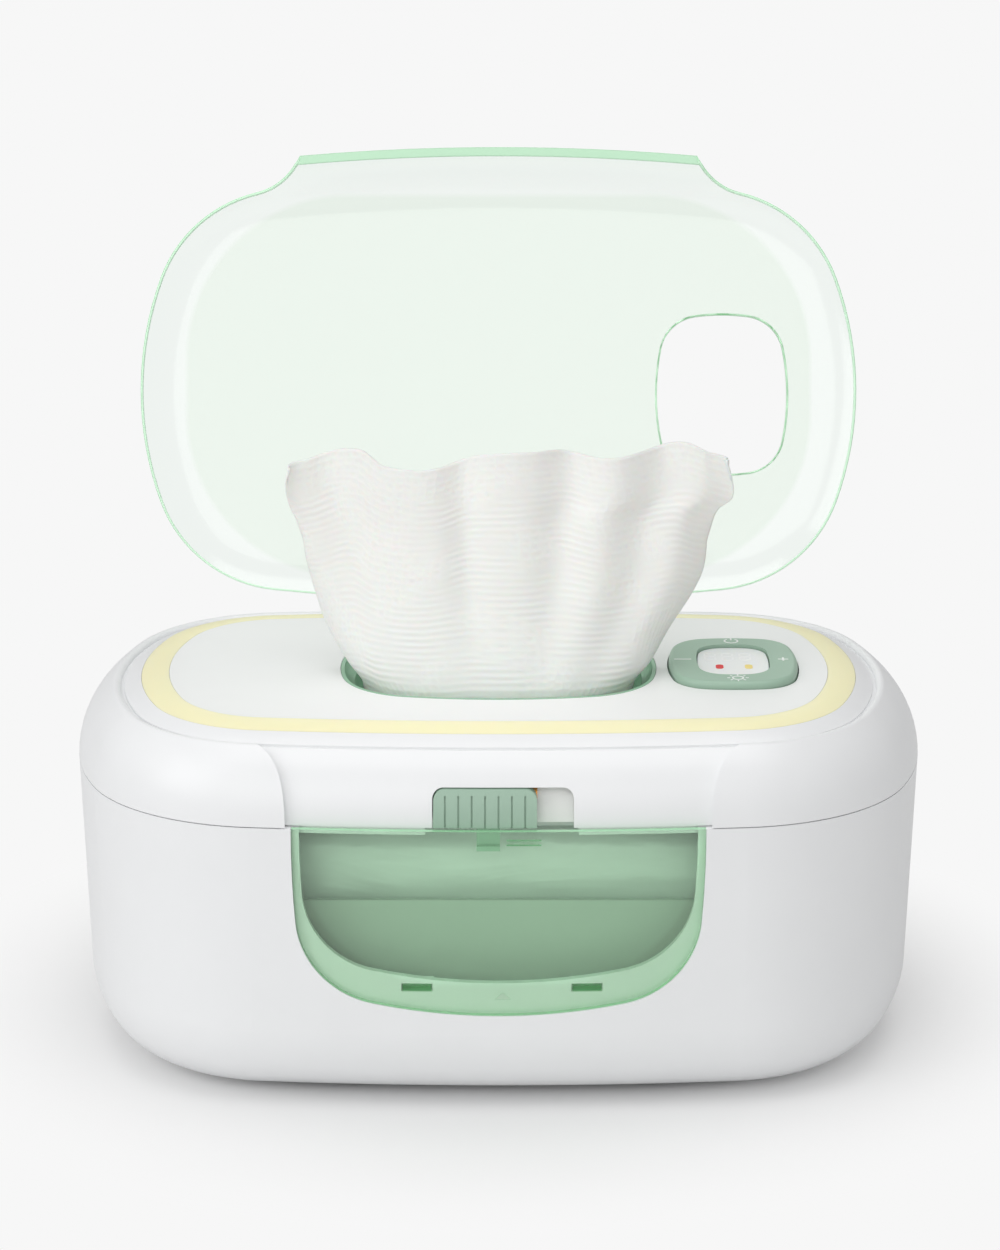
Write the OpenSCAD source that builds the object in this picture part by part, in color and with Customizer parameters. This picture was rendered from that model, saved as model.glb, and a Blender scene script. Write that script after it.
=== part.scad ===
// Baby wipe warmer: a low oval tub with a hinged deck, a clear lid over it and a window in front.
// X runs left to right, -Y is the front, +Z is up. The lid stands open and the deck is shut.

/* [Body] */
// Width of the body
body_w = 240; // [232:1:250]
// Depth of the body, front to back, without the rear hinges
body_d = 152.6; // [150:0.2:158]
// Height of the seam between tub and deck above the table
seam_z = 84; // [80:1:92]
// Plan radius of the four corners
corner_r = 53.5; // [50:0.5:56]
// Radius of the shoulder, from the widest line up to the flat top
shoulder_r = 25.5; // [24.5:0.5:27]
// Radius between the wall and the underside
foot_r = 23; // [18:1:25]
// Wall of the tub
tub_wall = 2.5; // [2.25:0.25:2.75]
// Gap of the seam between tub and deck
seam_gap = 0.3; // [0.3:0.05:0.5]
// Height that the rubber feet hold the underside above the table
foot_lift = 1; // [0.8:0.1:2]

/* [Window] */
// Width of the window pane at its widest
pane_w = 113.2; // [100:0.5:116]
// Height of the window pane below the seam
pane_h = 54.7; // [48:0.5:56]
// Thickness of the window pane
pane_t = 2; // [1.6:0.1:2.4]
// Width of the clear hole behind the pane
sight_w = 109.2; // [96:0.5:109.2]
// Height of the clear hole below the seam
sight_h = 45.7; // [40:0.5:46]
// Thickness of the ledge that carries the pane
ledge_t = 2.2; // [1.8:0.1:2.6]

/* [Tank] */
// Distance from the end of the body to the inner tank
tank_end_in = 18; // [17:0.5:26]
// Distance from the front of the body to the inner tank
tank_front_in = 16.8; // [16.4:0.2:21]
// Wall of the inner tank
tank_wall = 1.8; // [1.5:0.1:2.2]
// Plan radius of the inner tank's corners
tank_r = 34; // [26:1:40]
// Height of the low front wall below the seam
sill_drop = 26; // [20:1:30]

/* [Deck] */
// Depth of the recess that the lid lies in
recess = 2.4; // [2.4:0.1:2.8]
// Wall of the deck
deck_wall = 2.2; // [2:0.1:2.6]
// Inset of the light ring's outer edge from the widest line
ring_out = 18.1; // [17:0.1:19]
// Inset of the light ring's inner edge from the widest line
ring_in = 26.1; // [26:0.1:28]
// Width of the dispensing opening's rim
mouth_w = 90; // [84:1:92]
// Depth of the dispensing opening's rim, front to back
mouth_d = 62; // [56:1:64]
// Opening angle of the deck
deck_swing = 80; // [60:1:85]

/* [Lid] */
// Inset of the lid's outline from the widest line
lid_in = 12.9; // [12:0.1:13.5]
// Thickness of the lid
lid_t = 2; // [1.6:0.1:2]
// Gap between the lid's edge and the recess
lid_gap = 0.6; // [0.5:0.05:0.8]
// Radius that blends the flap into the oval
flap_flare = 20; // [16:1:22]
// Height of the flap's lower edge above the seam
flap_rise = 14; // [13:0.5:16]
// Angle from shut at which the lid stands open
lid_swing = 107.5; // [95:0.5:112]
// Width of the hole for the keys
key_hole_w = 38.8; // [38.4:0.1:40]
// Depth of the hole for the keys
key_hole_d = 47.6; // [46:0.1:49]

/* [Keys] */
// Distance from the right end of the body to the middle of the key ring
key_in = 53; // [52:0.5:54]
// Width of the key ring
key_w = 36.8; // [34:0.2:37]
// Depth of the key ring
key_d = 43.2; // [40:0.2:44]
// Width of the display
show_w = 20.2; // [18:0.2:22]
// Depth of the display
show_d = 28.2; // [26:0.2:30]
// Travel of the key ring
key_travel = 0.6; // [0.4:0.1:0.7]

/* [Latch] */
// Width of the latch slider
slider_w = 28.3; // [24:0.1:30]
// Height of the latch slider
slider_h = 10.3; // [9:0.1:10.6]
// Travel of the latch slider
slider_travel = 9.8; // [8:0.1:10]
// Number of grip grooves
grip_grooves = 7; // [5:1:8]

/* [Pins] */
// Radius of the lid's hinge pins
lid_pin_r = 1.2; // [1:0.1:1.3]
// Radius of the deck's hinge pins
deck_pin_r = 1.5; // [1.3:0.1:1.8]
// Running clearance of the pins
pin_gap = 0.06; // [0.03:0.01:0.1]
// Distance of each lid hinge from the middle
lid_hinge_x = 30; // [26:1:34]
// Distance of each deck hinge from the middle
deck_hinge_x = 52; // [46:1:56]

/* [Wipes] */
// Height that the drawn wipe stands above the deck
wipe_rise = 66; // [50:1:80]
// Width of the drawn wipe at its top edge
wipe_w = 128; // [110:1:136]
// Thickness of the drawn wipe
wipe_t = 1.2; // [0.8:0.1:1.6]
// Distance from the end of the tank to the pack of wipes
pack_end_in = 10; // [9.5:0.5:16]
// Distance from the front of the tank to the pack of wipes
pack_front_in = 7.5; // [7.5:0.5:11]
// Height of the pack of wipes
pack_h = 68; // [60:1:69]

/* [Hidden] */

fine = 96;
broad = 720;
half_d = body_d / 2;
key_x = body_w / 2 - key_in;
tank_w = body_w - 2 * tank_end_in;
tank_d = body_d - 2 * tank_front_in;
pack_w = tank_w - 2 * pack_end_in;
pack_d = tank_d - 2 * pack_front_in;
top_z = seam_z + shoulder_r;
deck_z = top_z - recess;
reach = 2 * corner_r;
slip = 0.3;
over = 1;

// Leans of the radii on which neighbouring arcs meet: sine, cosine and length in whole numbers
lean_4 = [25, 312, 313];
lean_6 = [40, 399, 401];
lean_8 = [15, 112, 113];
lean_11 = [20, 99, 101];
lean_13 = [68, 285, 293];
lean_20 = [51, 140, 149];
grain = 1000;
body_plan = plan(body_w / 2, half_d, corner_r, lean_6, lean_20);
mouth_plan = plan(mouth_w / 2, mouth_d / 2, 22, lean_11, lean_11);
key_plan = plan(key_w / 2, key_d / 2, 11, lean_8, lean_11);
show_plan = plan(show_w / 2, show_d / 2, 7, lean_8, lean_6);
hole_plan = plan(key_hole_w / 2, key_hole_d / 2, 12, lean_8, lean_11);

// Centre height of the two D outlines, where their sides stand upright
d_centre_drop = 4;
pane_plan = plan(pane_w / 2, pane_h - d_centre_drop, 26, lean_11, lean_4);
sight_plan = plan(sight_w / 2, sight_h - d_centre_drop, 24, lean_11, lean_4);

// The wall leans in by wall_lean, and radii are multiples of its length, so that joints meet exactly
wall_lean = [100, 2499, 2501];
lean_grain = 10000;
foot_k = round(foot_r / wall_lean[2] * lean_grain) / lean_grain;
wall_k = round(tub_wall / wall_lean[2] * lean_grain) / lean_grain;
foot_radius = foot_k * wall_lean[2];
wall = wall_k * wall_lean[2];
slope = wall_lean[0] / wall_lean[1];
foot_c = [grid(-foot_k * wall_lean[1] - (seam_z - foot_lift - foot_radius + foot_k * wall_lean[0]) * slope),
    foot_lift + foot_radius];

// Lid hinge axis, just under the rear shoulder
lid_axis_in = 9.5;
lid_axis_y = half_d - lid_axis_in;
lid_axis_z = top_z - 6.5;
knuckle_r = 2.6;
// Deck hinge axis, behind the rear wall at the seam
deck_axis_y = half_d + 2.5;
deck_axis_z = seam_z;
barrel_r = 3.6;

// The open lid reaches further back than the body, so the part's middle lies behind the body's
lid_back = lid_axis_y - (lid_axis_y + half_d - shoulder_r) * cos(lid_swing)
    - (lid_axis_z - seam_z) * sin(lid_swing) + shoulder_r;
shift_y = (lid_back - half_d) / 2;

// Levels inside the deck
plate_t = 2.4;
liner_z = seam_z + 0.6;
liner_t = 2;
heat_z = liner_z + liner_t;
heat_t = 1.2;
film_t = 0.4;
foam_t = 3;
board_z = seam_z + 13;
board_t = 1.4;
deck_in = recess + deck_wall;

// Tank levels
flange_z = seam_z - 5.1;
flange_t = 1.8;
tank_floor = foot_lift + 8.5;
sill_z = seam_z - sill_drop;

// Rim of the opening
lip = 0.7;
lip_t = 1.1;
throat = 4;
throat_wall = 1.8;
bowl_r = 7.6;

// Latch
slot_left = -18.1;
slot_h = 10.8;
slider_left = slot_left + slip;
hook_x = -6;
hook_w = 6.4;
hook_drop = 6.7;

// ---------------------------------------------------------------- plan geometry

function grid(v) = round(v * grain) / grain;

// Plan with half width a, half depth b, corner radius rc, and its two leans:
// [corner centre x and y, corner radius, front radius, front centre y, end radius, end centre x,
//  direction of the front joint, direction of the end joint]
function plan(a, b, rc, lf, le) =
    let (ef = (lf[2] - lf[1]) / lf[0], ee = (le[2] - le[1]) / le[0],
        x = (a - rc - (b - rc) * ee) / (1 - ef * ee), y = b - rc - x * ef,
        kf = grid(x / lf[0]), ke = grid(y / le[0]), cx = kf * lf[0], cy = -ke * le[0])
    [cx, cy, rc, rc + kf * lf[2], cy + kf * lf[1], rc + ke * le[2], cx - ke * le[1],
        kf * [lf[0], -lf[1]], ke * [le[1], -le[0]]];
function corner_at(p) = [p[0], p[1]];
function flip_y(v) = [v.x, -v.y];
function flip_x(v) = [-v.x, v.y];
function stretch(v, r) = v * ceil(1.5 * (r + 8) / norm(v));

// Wedges of the plan that each hold one arc
module front_wedge(p, o) {
    c = corner_at(p);
    far = c + stretch(p[7], p[2] + o);
    polygon([flip_x(c), c, far, flip_x(far)]);
}
module end_wedge(p, o) {
    c = corner_at(p);
    far = c + stretch(p[8], p[2] + o);
    polygon([c, far, flip_y(far), flip_y(c)]);
}
module corner_wedge(p, o) {
    c = corner_at(p);
    down = stretch(p[7], p[2] + o);
    out = stretch(p[8], p[2] + o);
    polygon([c, c + down, c + down + out, c + out]);
}

// Sectors of a flat oval made of eight arcs, grown outwards by o
module front_sector(p, o) {
    intersection() {
        translate([0, p[4]]) circle(p[3] + o, $fn = broad);
        front_wedge(p, max(o, 0));
    }
}
module corner_sectors(p, o) {
    for (side = [0, 1]) mirror([side, 0]) intersection() {
        translate(corner_at(p)) circle(p[2] + o, $fn = fine);
        corner_wedge(p, max(o, 0));
    }
}
module end_sector(p, o) {
    intersection() {
        translate([p[6], 0]) rotate(180) circle(p[5] + o, $fn = 2 * fine);
        end_wedge(p, max(o, 0));
    }
}
module core(p) {
    c = corner_at(p);
    polygon([c, flip_y(c), -c, -flip_y(c)]);
}
module oval(p, o = 0) {
    for (turn = [0, 180]) rotate(turn) {
        front_sector(p, o);
        corner_sectors(p, o);
        end_sector(p, o);
    }
    core(p);
}

// Carries a profile, drawn as [offset from the outline, height], along the front arc
module sweep_front(p) {
    intersection() {
        translate([0, p[4]]) rotate_extrude($fn = broad) translate([p[3], 0]) children();
        slab(-20, 300) front_wedge(p, 12);
    }
}

// Carries the profile round the two front corners
module sweep_corners(p) {
    for (side = [0, 1]) mirror([side, 0]) intersection() {
        translate(corner_at(p)) rotate_extrude($fn = fine) translate([p[2], 0]) children();
        slab(-20, 300) corner_wedge(p, 12);
    }
}

// Carries the profile round the right end
module sweep_end(p) {
    intersection() {
        translate([p[6], 0]) rotate(180) rotate_extrude($fn = 2 * fine) translate([p[5], 0]) children();
        slab(-20, 300) end_wedge(p, 12);
    }
}

// Carries the profile all the way round the outline
module sweep(p) {
    for (turn = [0, 180]) rotate(turn) {
        sweep_front(p) children();
        sweep_corners(p) children();
        sweep_end(p) children();
    }
}

// Quarter disc in the first quadrant
module quarter(r) {
    intersection() {
        circle(r, $fn = fine);
        square(r + over);
    }
}

// Rounded rectangle about the origin
module rounded(w, d, r) {
    square([w, d - 2 * r], center = true);
    for (turn = [0, 180]) rotate(turn) {
        translate([r - w / 2, d / 2 - r]) square([w - 2 * r, r]);
        translate([w / 2 - r, d / 2 - r]) quarter(r);
        translate([r - w / 2, d / 2 - r]) rotate(90) quarter(r);
    }
}

// Prism of a flat shape from z0 up by h
module slab(z0, h) {
    translate([0, 0, z0]) linear_extrude(h) children();
}

// Prism that runs through the front wall, its shape drawn as [x, z]
module through_front() {
    rotate([90, 0, 0]) translate([0, 0, half_d - 30]) linear_extrude(60) children();
}

// ---------------------------------------------------------------- wall profiles

// Shoulder of the deck, inset by i, solid from offset o_in outwards
module shoulder(i, o_in) {
    if (o_in < -shoulder_r) {
        translate([o_in, seam_z]) square([-shoulder_r - o_in, shoulder_r - i]);
        translate([-shoulder_r, seam_z]) quarter(shoulder_r - i);
    }
    else intersection() {
        translate([-shoulder_r, seam_z]) quarter(shoulder_r - i);
        beyond(o_in);
    }
}

// Everything further out than offset o
module beyond(o) {
    translate([o, -over]) square([reach, 2 * top_z]);
}

// Curved skin of the shoulder between two insets, carried a little past both ends
module shoulder_skin(i0, i1, o_in) {
    difference() {
        union() {
            shoulder(i0, o_in);
            translate([o_in, seam_z - over]) square([-i0 - o_in, over]);
        }
        shoulder(i1, o_in - over);
        translate([o_in - over, seam_z - 2 * over]) square([over - i1 - o_in, 2 * over]);
    }
}

function wall_foot(k) = foot_c + (foot_k - k) * [wall_lean[1], -wall_lean[0]];
function wall_o(i, z) = foot_c.x + (foot_radius - i) * wall_lean[2] / wall_lean[1] + (z - foot_c.y) * slope;

// Tub wall and foot radius, inset by k wall units, solid from offset o_in outwards and up to z_top
module tub_section(k, o_in, z_top) {
    i = k * wall_lean[2];
    polygon([[o_in, foot_lift + i], [foot_c.x, foot_lift + i], foot_c, wall_foot(k),
        [wall_o(i, z_top), z_top], [o_in, z_top]]);
    intersection() {
        translate(foot_c) rotate(90) circle(foot_radius - i, $fn = fine);
        polygon([foot_c, foot_c - [0, 2 * foot_radius], foot_c + 2 * foot_radius * [1, -1],
            foot_c + 2 * foot_k * [wall_lean[1], -wall_lean[0]]]);
    }
}

// Straight stretch of the tub wall between two insets
module wall_skin(i0, i1) {
    polygon([[wall_o(i0, seam_z + over), seam_z + over], [wall_o(i1, seam_z + over), seam_z + over],
        [wall_o(i1, foot_c.y), foot_c.y], [wall_o(i0, foot_c.y), foot_c.y]]);
}

// D outline of the window, drawn as [x, z] and cut off at height z_top
module d_outline(p, o, z_top) {
    intersection() {
        translate([0, seam_z - d_centre_drop]) oval(p, o);
        translate([-body_w / 2, 0]) square([body_w, z_top]);
    }
}

// ---------------------------------------------------------------- tub

cover_in = foot_r + 3.2;
cover_t = 2;
flange_in = cover_in + 7;
cover_boss_at = [body_w / 2 - 60, half_d - foot_r - 10.1];
cover_boss = [cover_boss_at, flip_y(cover_boss_at), -cover_boss_at, -flip_y(cover_boss_at)];
boss_r = 4.5;
screw_r = 1.3;
head_r = 2.4;
head_h = 1.4;

module tub_ring() {
    difference() {
        tub_section(0, -flange_in, seam_z - seam_gap);
        difference() {
            tub_section(wall_k, -flange_in - over, seam_z + over);
            translate([-flange_in - over, 0]) square([flange_in - cover_in + 4, foot_lift + cover_t + 2.2]);
        }
        translate([-flange_in - over, 0]) square([flange_in - cover_in + over, foot_lift + cover_t]);
    }
    // Ledge that carries the tank's flange
    polygon([[-tub_wall, flange_z - slip], [-8.4, flange_z - slip], [-8.4, flange_z - slip - 2],
        [wall_o(tub_wall / 2, flange_z - 8), flange_z - 8], [-tub_wall / 2, flange_z - slip]]);
}

module base_shell() {
    color("whitesmoke") {
        difference() {
            union() {
                sweep(body_plan) tub_ring();
                intersection() {
                    sweep_front(body_plan) wall_skin(tub_wall / 2, pane_t + ledge_t);
                    through_front() d_outline(pane_plan, 2.4, seam_z - seam_gap);
                }
                for (b = cover_boss) translate([b.x, b.y, foot_lift + cover_t + slip])
                    cylinder(r = boss_r, h = tank_floor - foot_lift - cover_t - 2 * slip, $fn = fine);
            }
            intersection() {
                sweep_front(body_plan) wall_skin(-2, pane_t + 0.1);
                through_front() d_outline(pane_plan, 0.15, seam_z + over);
            }
            through_front() d_outline(sight_plan, 0, seam_z + over);
            for (b = cover_boss) translate([b.x, b.y, 0])
                cylinder(r = screw_r + 0.05, h = foot_lift + 7, $fn = fine);
            for (x = [-22.5, 24.4]) snap_slot(x, 0.3);
        }
        for (s = [-1, 1]) tub_hinge(s * deck_hinge_x);
    }
}

// Two snap tabs under the pane, each in a slot in the ledge
snap_w = 8;
snap_z = seam_z - sight_h - 1.4;
module snap_slot(x, grow) {
    translate([x - snap_w / 2 - grow, -half_d - 1, snap_z - 0.9 - grow])
        cube([snap_w + 2 * grow, 12, 1.8 + 2 * grow]);
}

// Two knuckles and their webs at one side of the rear wall
tub_knuckle_w = 6;
deck_knuckle_w = 12;
module tub_hinge(x) {
    rear_y = half_d - x * x / (2 * body_plan[3]);
    for (s = [-1, 1]) translate([x + s * (deck_knuckle_w + tub_knuckle_w + 2 * slip) / 2, 0, 0])
        difference() {
            union() {
                translate([-tub_knuckle_w / 2, deck_axis_y, deck_axis_z]) rotate([0, 90, 0])
                    cylinder(r = barrel_r, h = tub_knuckle_w, $fn = fine);
                translate([-tub_knuckle_w / 2, 0, 0]) rotate([90, 0, 90]) linear_extrude(tub_knuckle_w)
                    polygon([[rear_y - 2.2, seam_z - seam_gap], [deck_axis_y, seam_z - seam_gap],
                        [deck_axis_y + barrel_r - 0.1, seam_z - 0.8], [deck_axis_y + 1, seam_z - 4],
                        [rear_y - 1.4, seam_z - 10], [rear_y - 2.2, seam_z - 10]]);
            }
            translate([-tub_knuckle_w, deck_axis_y, deck_axis_z]) rotate([0, 90, 0])
                cylinder(r = deck_pin_r + 0.03, h = 2 * tub_knuckle_w, $fn = fine);
        }
}

module deck_hinge_pins() {
    len = deck_knuckle_w + 2 * tub_knuckle_w + 4 * slip;
    color("silver") for (s = [-1, 1])
        translate([s * deck_hinge_x - len / 2, deck_axis_y, deck_axis_z]) rotate([0, 90, 0])
            cylinder(r = deck_pin_r, h = len, $fn = fine);
}

module window_pane() {
    color([0.68, 0.88, 0.75, 0.6]) {
        intersection() {
            sweep_front(body_plan) wall_skin(0, pane_t);
            through_front() d_outline(pane_plan, 0, seam_z - seam_gap);
        }
        for (x = [-22.5, 24.4]) intersection() {
            snap_slot(x, 0);
            sweep_front(body_plan) wall_skin(pane_t - 0.5, pane_t + ledge_t + 1.6);
        }
        // Catch under which the latch hook slides
        translate([2.2, -half_d + pane_t - 0.2, seam_z - 5])
            cube([9.5, 1.7, 1.4]);
    }
}

module bottom_cover() {
    color("white") difference() {
        slab(foot_lift, cover_t - 0.1) oval(body_plan, -cover_in - 0.2);
        for (b = cover_boss) translate([b.x, b.y, 0]) {
            cylinder(r = screw_r + 0.2, h = 10, $fn = fine);
            translate([0, 0, foot_lift - over]) cylinder(r = head_r + 0.2, h = head_h + over, $fn = fine);
        }
        for (f = foot_at) translate([f.x, f.y, 0]) cylinder(r = pad_r + 0.2, h = foot_lift + 1, $fn = fine);
        for (x = [-16:8:16]) translate([x, 0, 0]) slab(0, 10) rounded(3, 40, 1.4);
    }
}

module cover_screws() {
    color("silver") for (b = cover_boss) translate([b.x, b.y, foot_lift + 0.05]) {
        cylinder(r = head_r, h = head_h - 0.05, $fn = fine);
        cylinder(r = screw_r, h = 6.9, $fn = fine);
    }
}

pad_r = 7;
pad_at = [body_w / 2 - foot_r - 21, half_d - foot_r - 27.3];
foot_at = [pad_at, flip_y(pad_at), -pad_at, -flip_y(pad_at)];
module rubber_feet() {
    color("gray") for (f = foot_at) translate([f.x, f.y, 0]) {
        cylinder(r = pad_r, h = foot_lift + 1, $fn = fine);
    }
}

module inner_tank() {
    sill_w = pane_w + 5;
    color("darkseagreen") difference() {
        union() {
            slab(tank_floor, flange_z + flange_t - tank_floor) rounded(tank_w, tank_d, tank_r);
            slab(flange_z, flange_t) oval(body_plan, -wall - 0.5);
        }
        slab(tank_floor + tank_wall, top_z)
            rounded(tank_w - 2 * tank_wall, tank_d - 2 * tank_wall, tank_r - tank_wall);
        translate([-sill_w / 2, -half_d - over, sill_z])
            cube([sill_w, half_d + over - tank_d / 2 + tank_wall + over, top_z]);
    }
}

// Soft pack: round edges, upright sides and a crowned top, as [height, inset] levels
pack_levels = [[0, 8], [1.6, 3.6], [4, 1.4], [8, 0], [pack_h - 17, 0], [pack_h - 10, 1.8],
    [pack_h - 5, 6], [pack_h - 2, 15], [pack_h - 0.3, 32]];
pack_corner = 15;
module wipe_pack() {
    color("honeydew") hull() for (l = pack_levels, x = [-1, 1], y = [-1, 1])
        translate([x * (pack_w / 2 - l[1] - pack_corner), y * (pack_d / 2 - l[1] - pack_corner),
            tank_floor + tank_wall + slip + l[0]])
            cylinder(r = pack_corner, h = 0.3, $fn = 32);
}

// ---------------------------------------------------------------- deck

liner_boss_in = 10.2;
liner_boss_r = 3.6;
liner_boss = let (v = corner_at(body_plan) + (corner_r - liner_boss_in) * [0.7, -0.7])
    [v, flip_y(v), -v, -flip_y(v)];

// Plan of the lid: the oval, with a flap that widens into it round two circles
flare_k = grid((corner_r - lid_in + flap_flare) / lean_13[2] * 10) / 10;
flare_at = corner_at(body_plan) + flare_k * [lean_13[0], -lean_13[1]];
flare_r = flare_k * lean_13[2] - corner_r + lid_in;
module lid_plan(grow) {
    c = corner_at(body_plan);
    o = grow - lid_in;
    out = stretch(body_plan[8], corner_r);
    rotate(180) {
        front_sector(body_plan, o);
        corner_sectors(body_plan, o);
    }
    for (turn = [0, 180]) rotate(turn) end_sector(body_plan, o);
    core(body_plan);
    for (side = [0, 1]) mirror([side, 0]) intersection() {
        translate(c) circle(corner_r + o, $fn = fine);
        polygon([c, 2 * flare_at - c, 2 * flare_at - c + out, c + out]);
    }
    difference() {
        polygon([flip_x(c), c, flare_at, [flare_at.x, -half_d - 4], [-flare_at.x, -half_d - 4],
            flip_x(flare_at)]);
        translate(flare_at) circle(flare_r - grow, $fn = fine);
        translate(flip_x(flare_at)) rotate(180) circle(flare_r - grow, $fn = fine);
    }
}

// What rounds the top of the step round the recess
step_r = 1.5;
module step_round() {
    reach_x = shoulder_r - lid_in + lid_gap + step_r;
    reach_z = sqrt(pow(shoulder_r - step_r, 2) - reach_x * reach_x);
    mid = [reach_x - shoulder_r, seam_z + reach_z];
    difference() {
        polygon([mid - [step_r + over, 0], mid, mid + 4 * [reach_x, reach_z] / (shoulder_r - step_r),
            mid + [-step_r - over, 4]]);
        translate(mid) circle(step_r, $fn = fine);
    }
}

module deck_section() {
    difference() {
        union() {
            shoulder(recess, -ring_out);
            intersection() {
                shoulder(0, -shoulder_r - over);
                beyond(-lid_in + lid_gap);
            }
        }
        step_round();
        shoulder(deck_in, -shoulder_r - over);
    }
}

module deck_shell() {
    color("white") difference() {
        union() {
            sweep(body_plan) deck_section();
            for (b = liner_boss) translate([b.x, b.y, heat_z + slip])
                cylinder(r = liner_boss_r, h = seam_z + 15.5 - heat_z - slip, $fn = fine);
            for (s = [-1, 1], t = [-1, 1])
                translate([s * lid_hinge_x + t * (lid_knuckle_w + ear_w + 2 * slip) / 2 - ear_w / 2,
                    lid_axis_y, lid_axis_z]) rotate([0, 90, 0])
                        cylinder(r = knuckle_r, h = ear_w, $fn = fine);
            for (s = [-1, 1]) deck_hinge(s * deck_hinge_x);
        }
        // Recess for the front flap, down to the seam
        intersection() {
            union() {
                sweep_front(body_plan) shoulder_skin(-2, recess, -lid_in - 2);
                sweep_corners(body_plan) shoulder_skin(-2, recess, -lid_in - 2);
            }
            slab(seam_z - over, shoulder_r + 4) flap_cut();
        }
        // Slot for the latch slider, open at the seam
        through_front() translate([slot_left, seam_z - over])
            latch_shape(slider_w + slider_travel + 2 * slip, slot_h + over);
        for (b = liner_boss) translate([b.x, b.y, seam_z - over])
            cylinder(r = screw_r + 0.05, h = 12, $fn = fine);
        for (s = [-1, 1]) lid_hinge_pocket(s * lid_hinge_x);
        // Inlet for the plug
        translate([0, half_d + over, jack_z]) rotate([90, 0, 0]) cylinder(r = jack_r, h = 12, $fn = fine);
    }
}

// The part of the lid's plan in front of the oval
module flap_cut() {
    intersection() {
        lid_plan(lid_gap);
        translate([-body_w / 2, -half_d - 3]) square([body_w, half_d + 3 - 40]);
    }
}

// Upright rectangle with round upper corners
module latch_shape(w, h) {
    r = 3;
    square([w, h - r]);
    translate([r, h - r]) square([w - 2 * r, r]);
    translate([w - r, h - r]) quarter(r);
    translate([r, h - r]) rotate(90) quarter(r);
}

lid_knuckle_w = 10;
ear_w = 5;
strap_in = 1.6;
module lid_hinge_pocket(x) {
    w = lid_knuckle_w + 2 * slip;
    translate([x - w / 2, lid_axis_y, lid_axis_z]) rotate([0, 90, 0])
        cylinder(r = knuckle_r + 0.4, h = w, $fn = fine);
    front_y = half_d - lid_in - x * x / (2 * body_plan[3]) - strap_in - slip;
    translate([x - w / 2, front_y, lid_axis_z - 0.4])
        cube([w, lid_axis_y - front_y + knuckle_r, 10]);
    len = lid_knuckle_w + 2 * ear_w + 4 * slip;
    translate([x - len / 2, lid_axis_y, lid_axis_z]) rotate([0, 90, 0])
        cylinder(r = lid_pin_r + 0.03, h = len, $fn = fine);
}

module deck_hinge(x) {
    rear_y = half_d - x * x / (2 * body_plan[3]);
    translate([x - deck_knuckle_w / 2, 0, 0]) difference() {
        union() {
            translate([0, deck_axis_y, deck_axis_z]) rotate([0, 90, 0])
                cylinder(r = barrel_r, h = deck_knuckle_w, $fn = fine);
            rotate([90, 0, 90]) linear_extrude(deck_knuckle_w)
                polygon([[rear_y - 3, seam_z + 0.4], [deck_axis_y, seam_z + 0.4],
                    [deck_axis_y + barrel_r - 0.1, seam_z + 0.9], [rear_y - 0.5, seam_z + 11],
                    [rear_y - 3, seam_z + 11]]);
        }
        translate([-over, deck_axis_y, deck_axis_z]) rotate([0, 90, 0])
            cylinder(r = deck_pin_r + pin_gap, h = deck_knuckle_w + 2 * over, $fn = fine);
    }
}

module lid_hinge_pins() {
    len = lid_knuckle_w + 2 * ear_w + 2 * slip;
    color("silver") for (s = [-1, 1])
        translate([s * lid_hinge_x - len / 2, lid_axis_y, lid_axis_z]) rotate([0, 90, 0])
            cylinder(r = lid_pin_r, h = len, $fn = fine);
}

// Night light diffuser: a band of the recess surface with a flange below and a rib on the board
module light_ring_section() {
    difference() {
        intersection() {
            shoulder(recess, -ring_in + 0.1);
            translate([-ring_in + 0.1, 0]) square([ring_in - ring_out - 0.2, 2 * top_z]);
        }
        shoulder(recess + plate_t + 0.1, -ring_in - over);
    }
    difference() {
        intersection() {
            shoulder(recess + plate_t, -ring_in - 2);
            translate([-ring_in - 2, 0]) square([ring_in - ring_out + 3.6, 2 * top_z]);
        }
        shoulder(recess + plate_t + 1.2, -ring_in - 3);
    }
    translate([-ring_in + 3, board_z + board_t + slip])
        square([1.4, deck_z - plate_t - 1 - board_z - board_t - slip]);
}

module light_ring() {
    color("khaki") difference() {
        sweep(body_plan) light_ring_section();
        for (b = liner_boss) translate([b.x, b.y, seam_z])
            cylinder(r = liner_boss_r + slip, h = 17, $fn = fine);
    }
}

module led_board() {
    color("seagreen") slab(board_z, board_t) difference() {
        oval(body_plan, -ring_out + 2);
        oval(body_plan, -ring_in - 4.4);
    }
}

module led_chips() {
    c = corner_at(body_plan);
    o = -ring_out - 1.4;
    led_pitch = (c.x - 3) / 3;
    color("lemonchiffon") {
        for (k = [-3:3], s = [-1, 1]) let (x = k * led_pitch)
            translate([x, s * (half_d + o - x * x / (2 * body_plan[3])), board_z + board_t + 0.5])
                cube([3, 2.4, 1], center = true);
        for (sx = [-1, 1], sy = [-1, 1], a = [20, 50]) {
            v = c + (corner_r + o) * [cos(a), -sin(a)];
            translate([sx * v.x, sy * v.y, board_z + board_t + 0.5]) cube([3, 3, 1], center = true);
        }
    }
}

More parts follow.
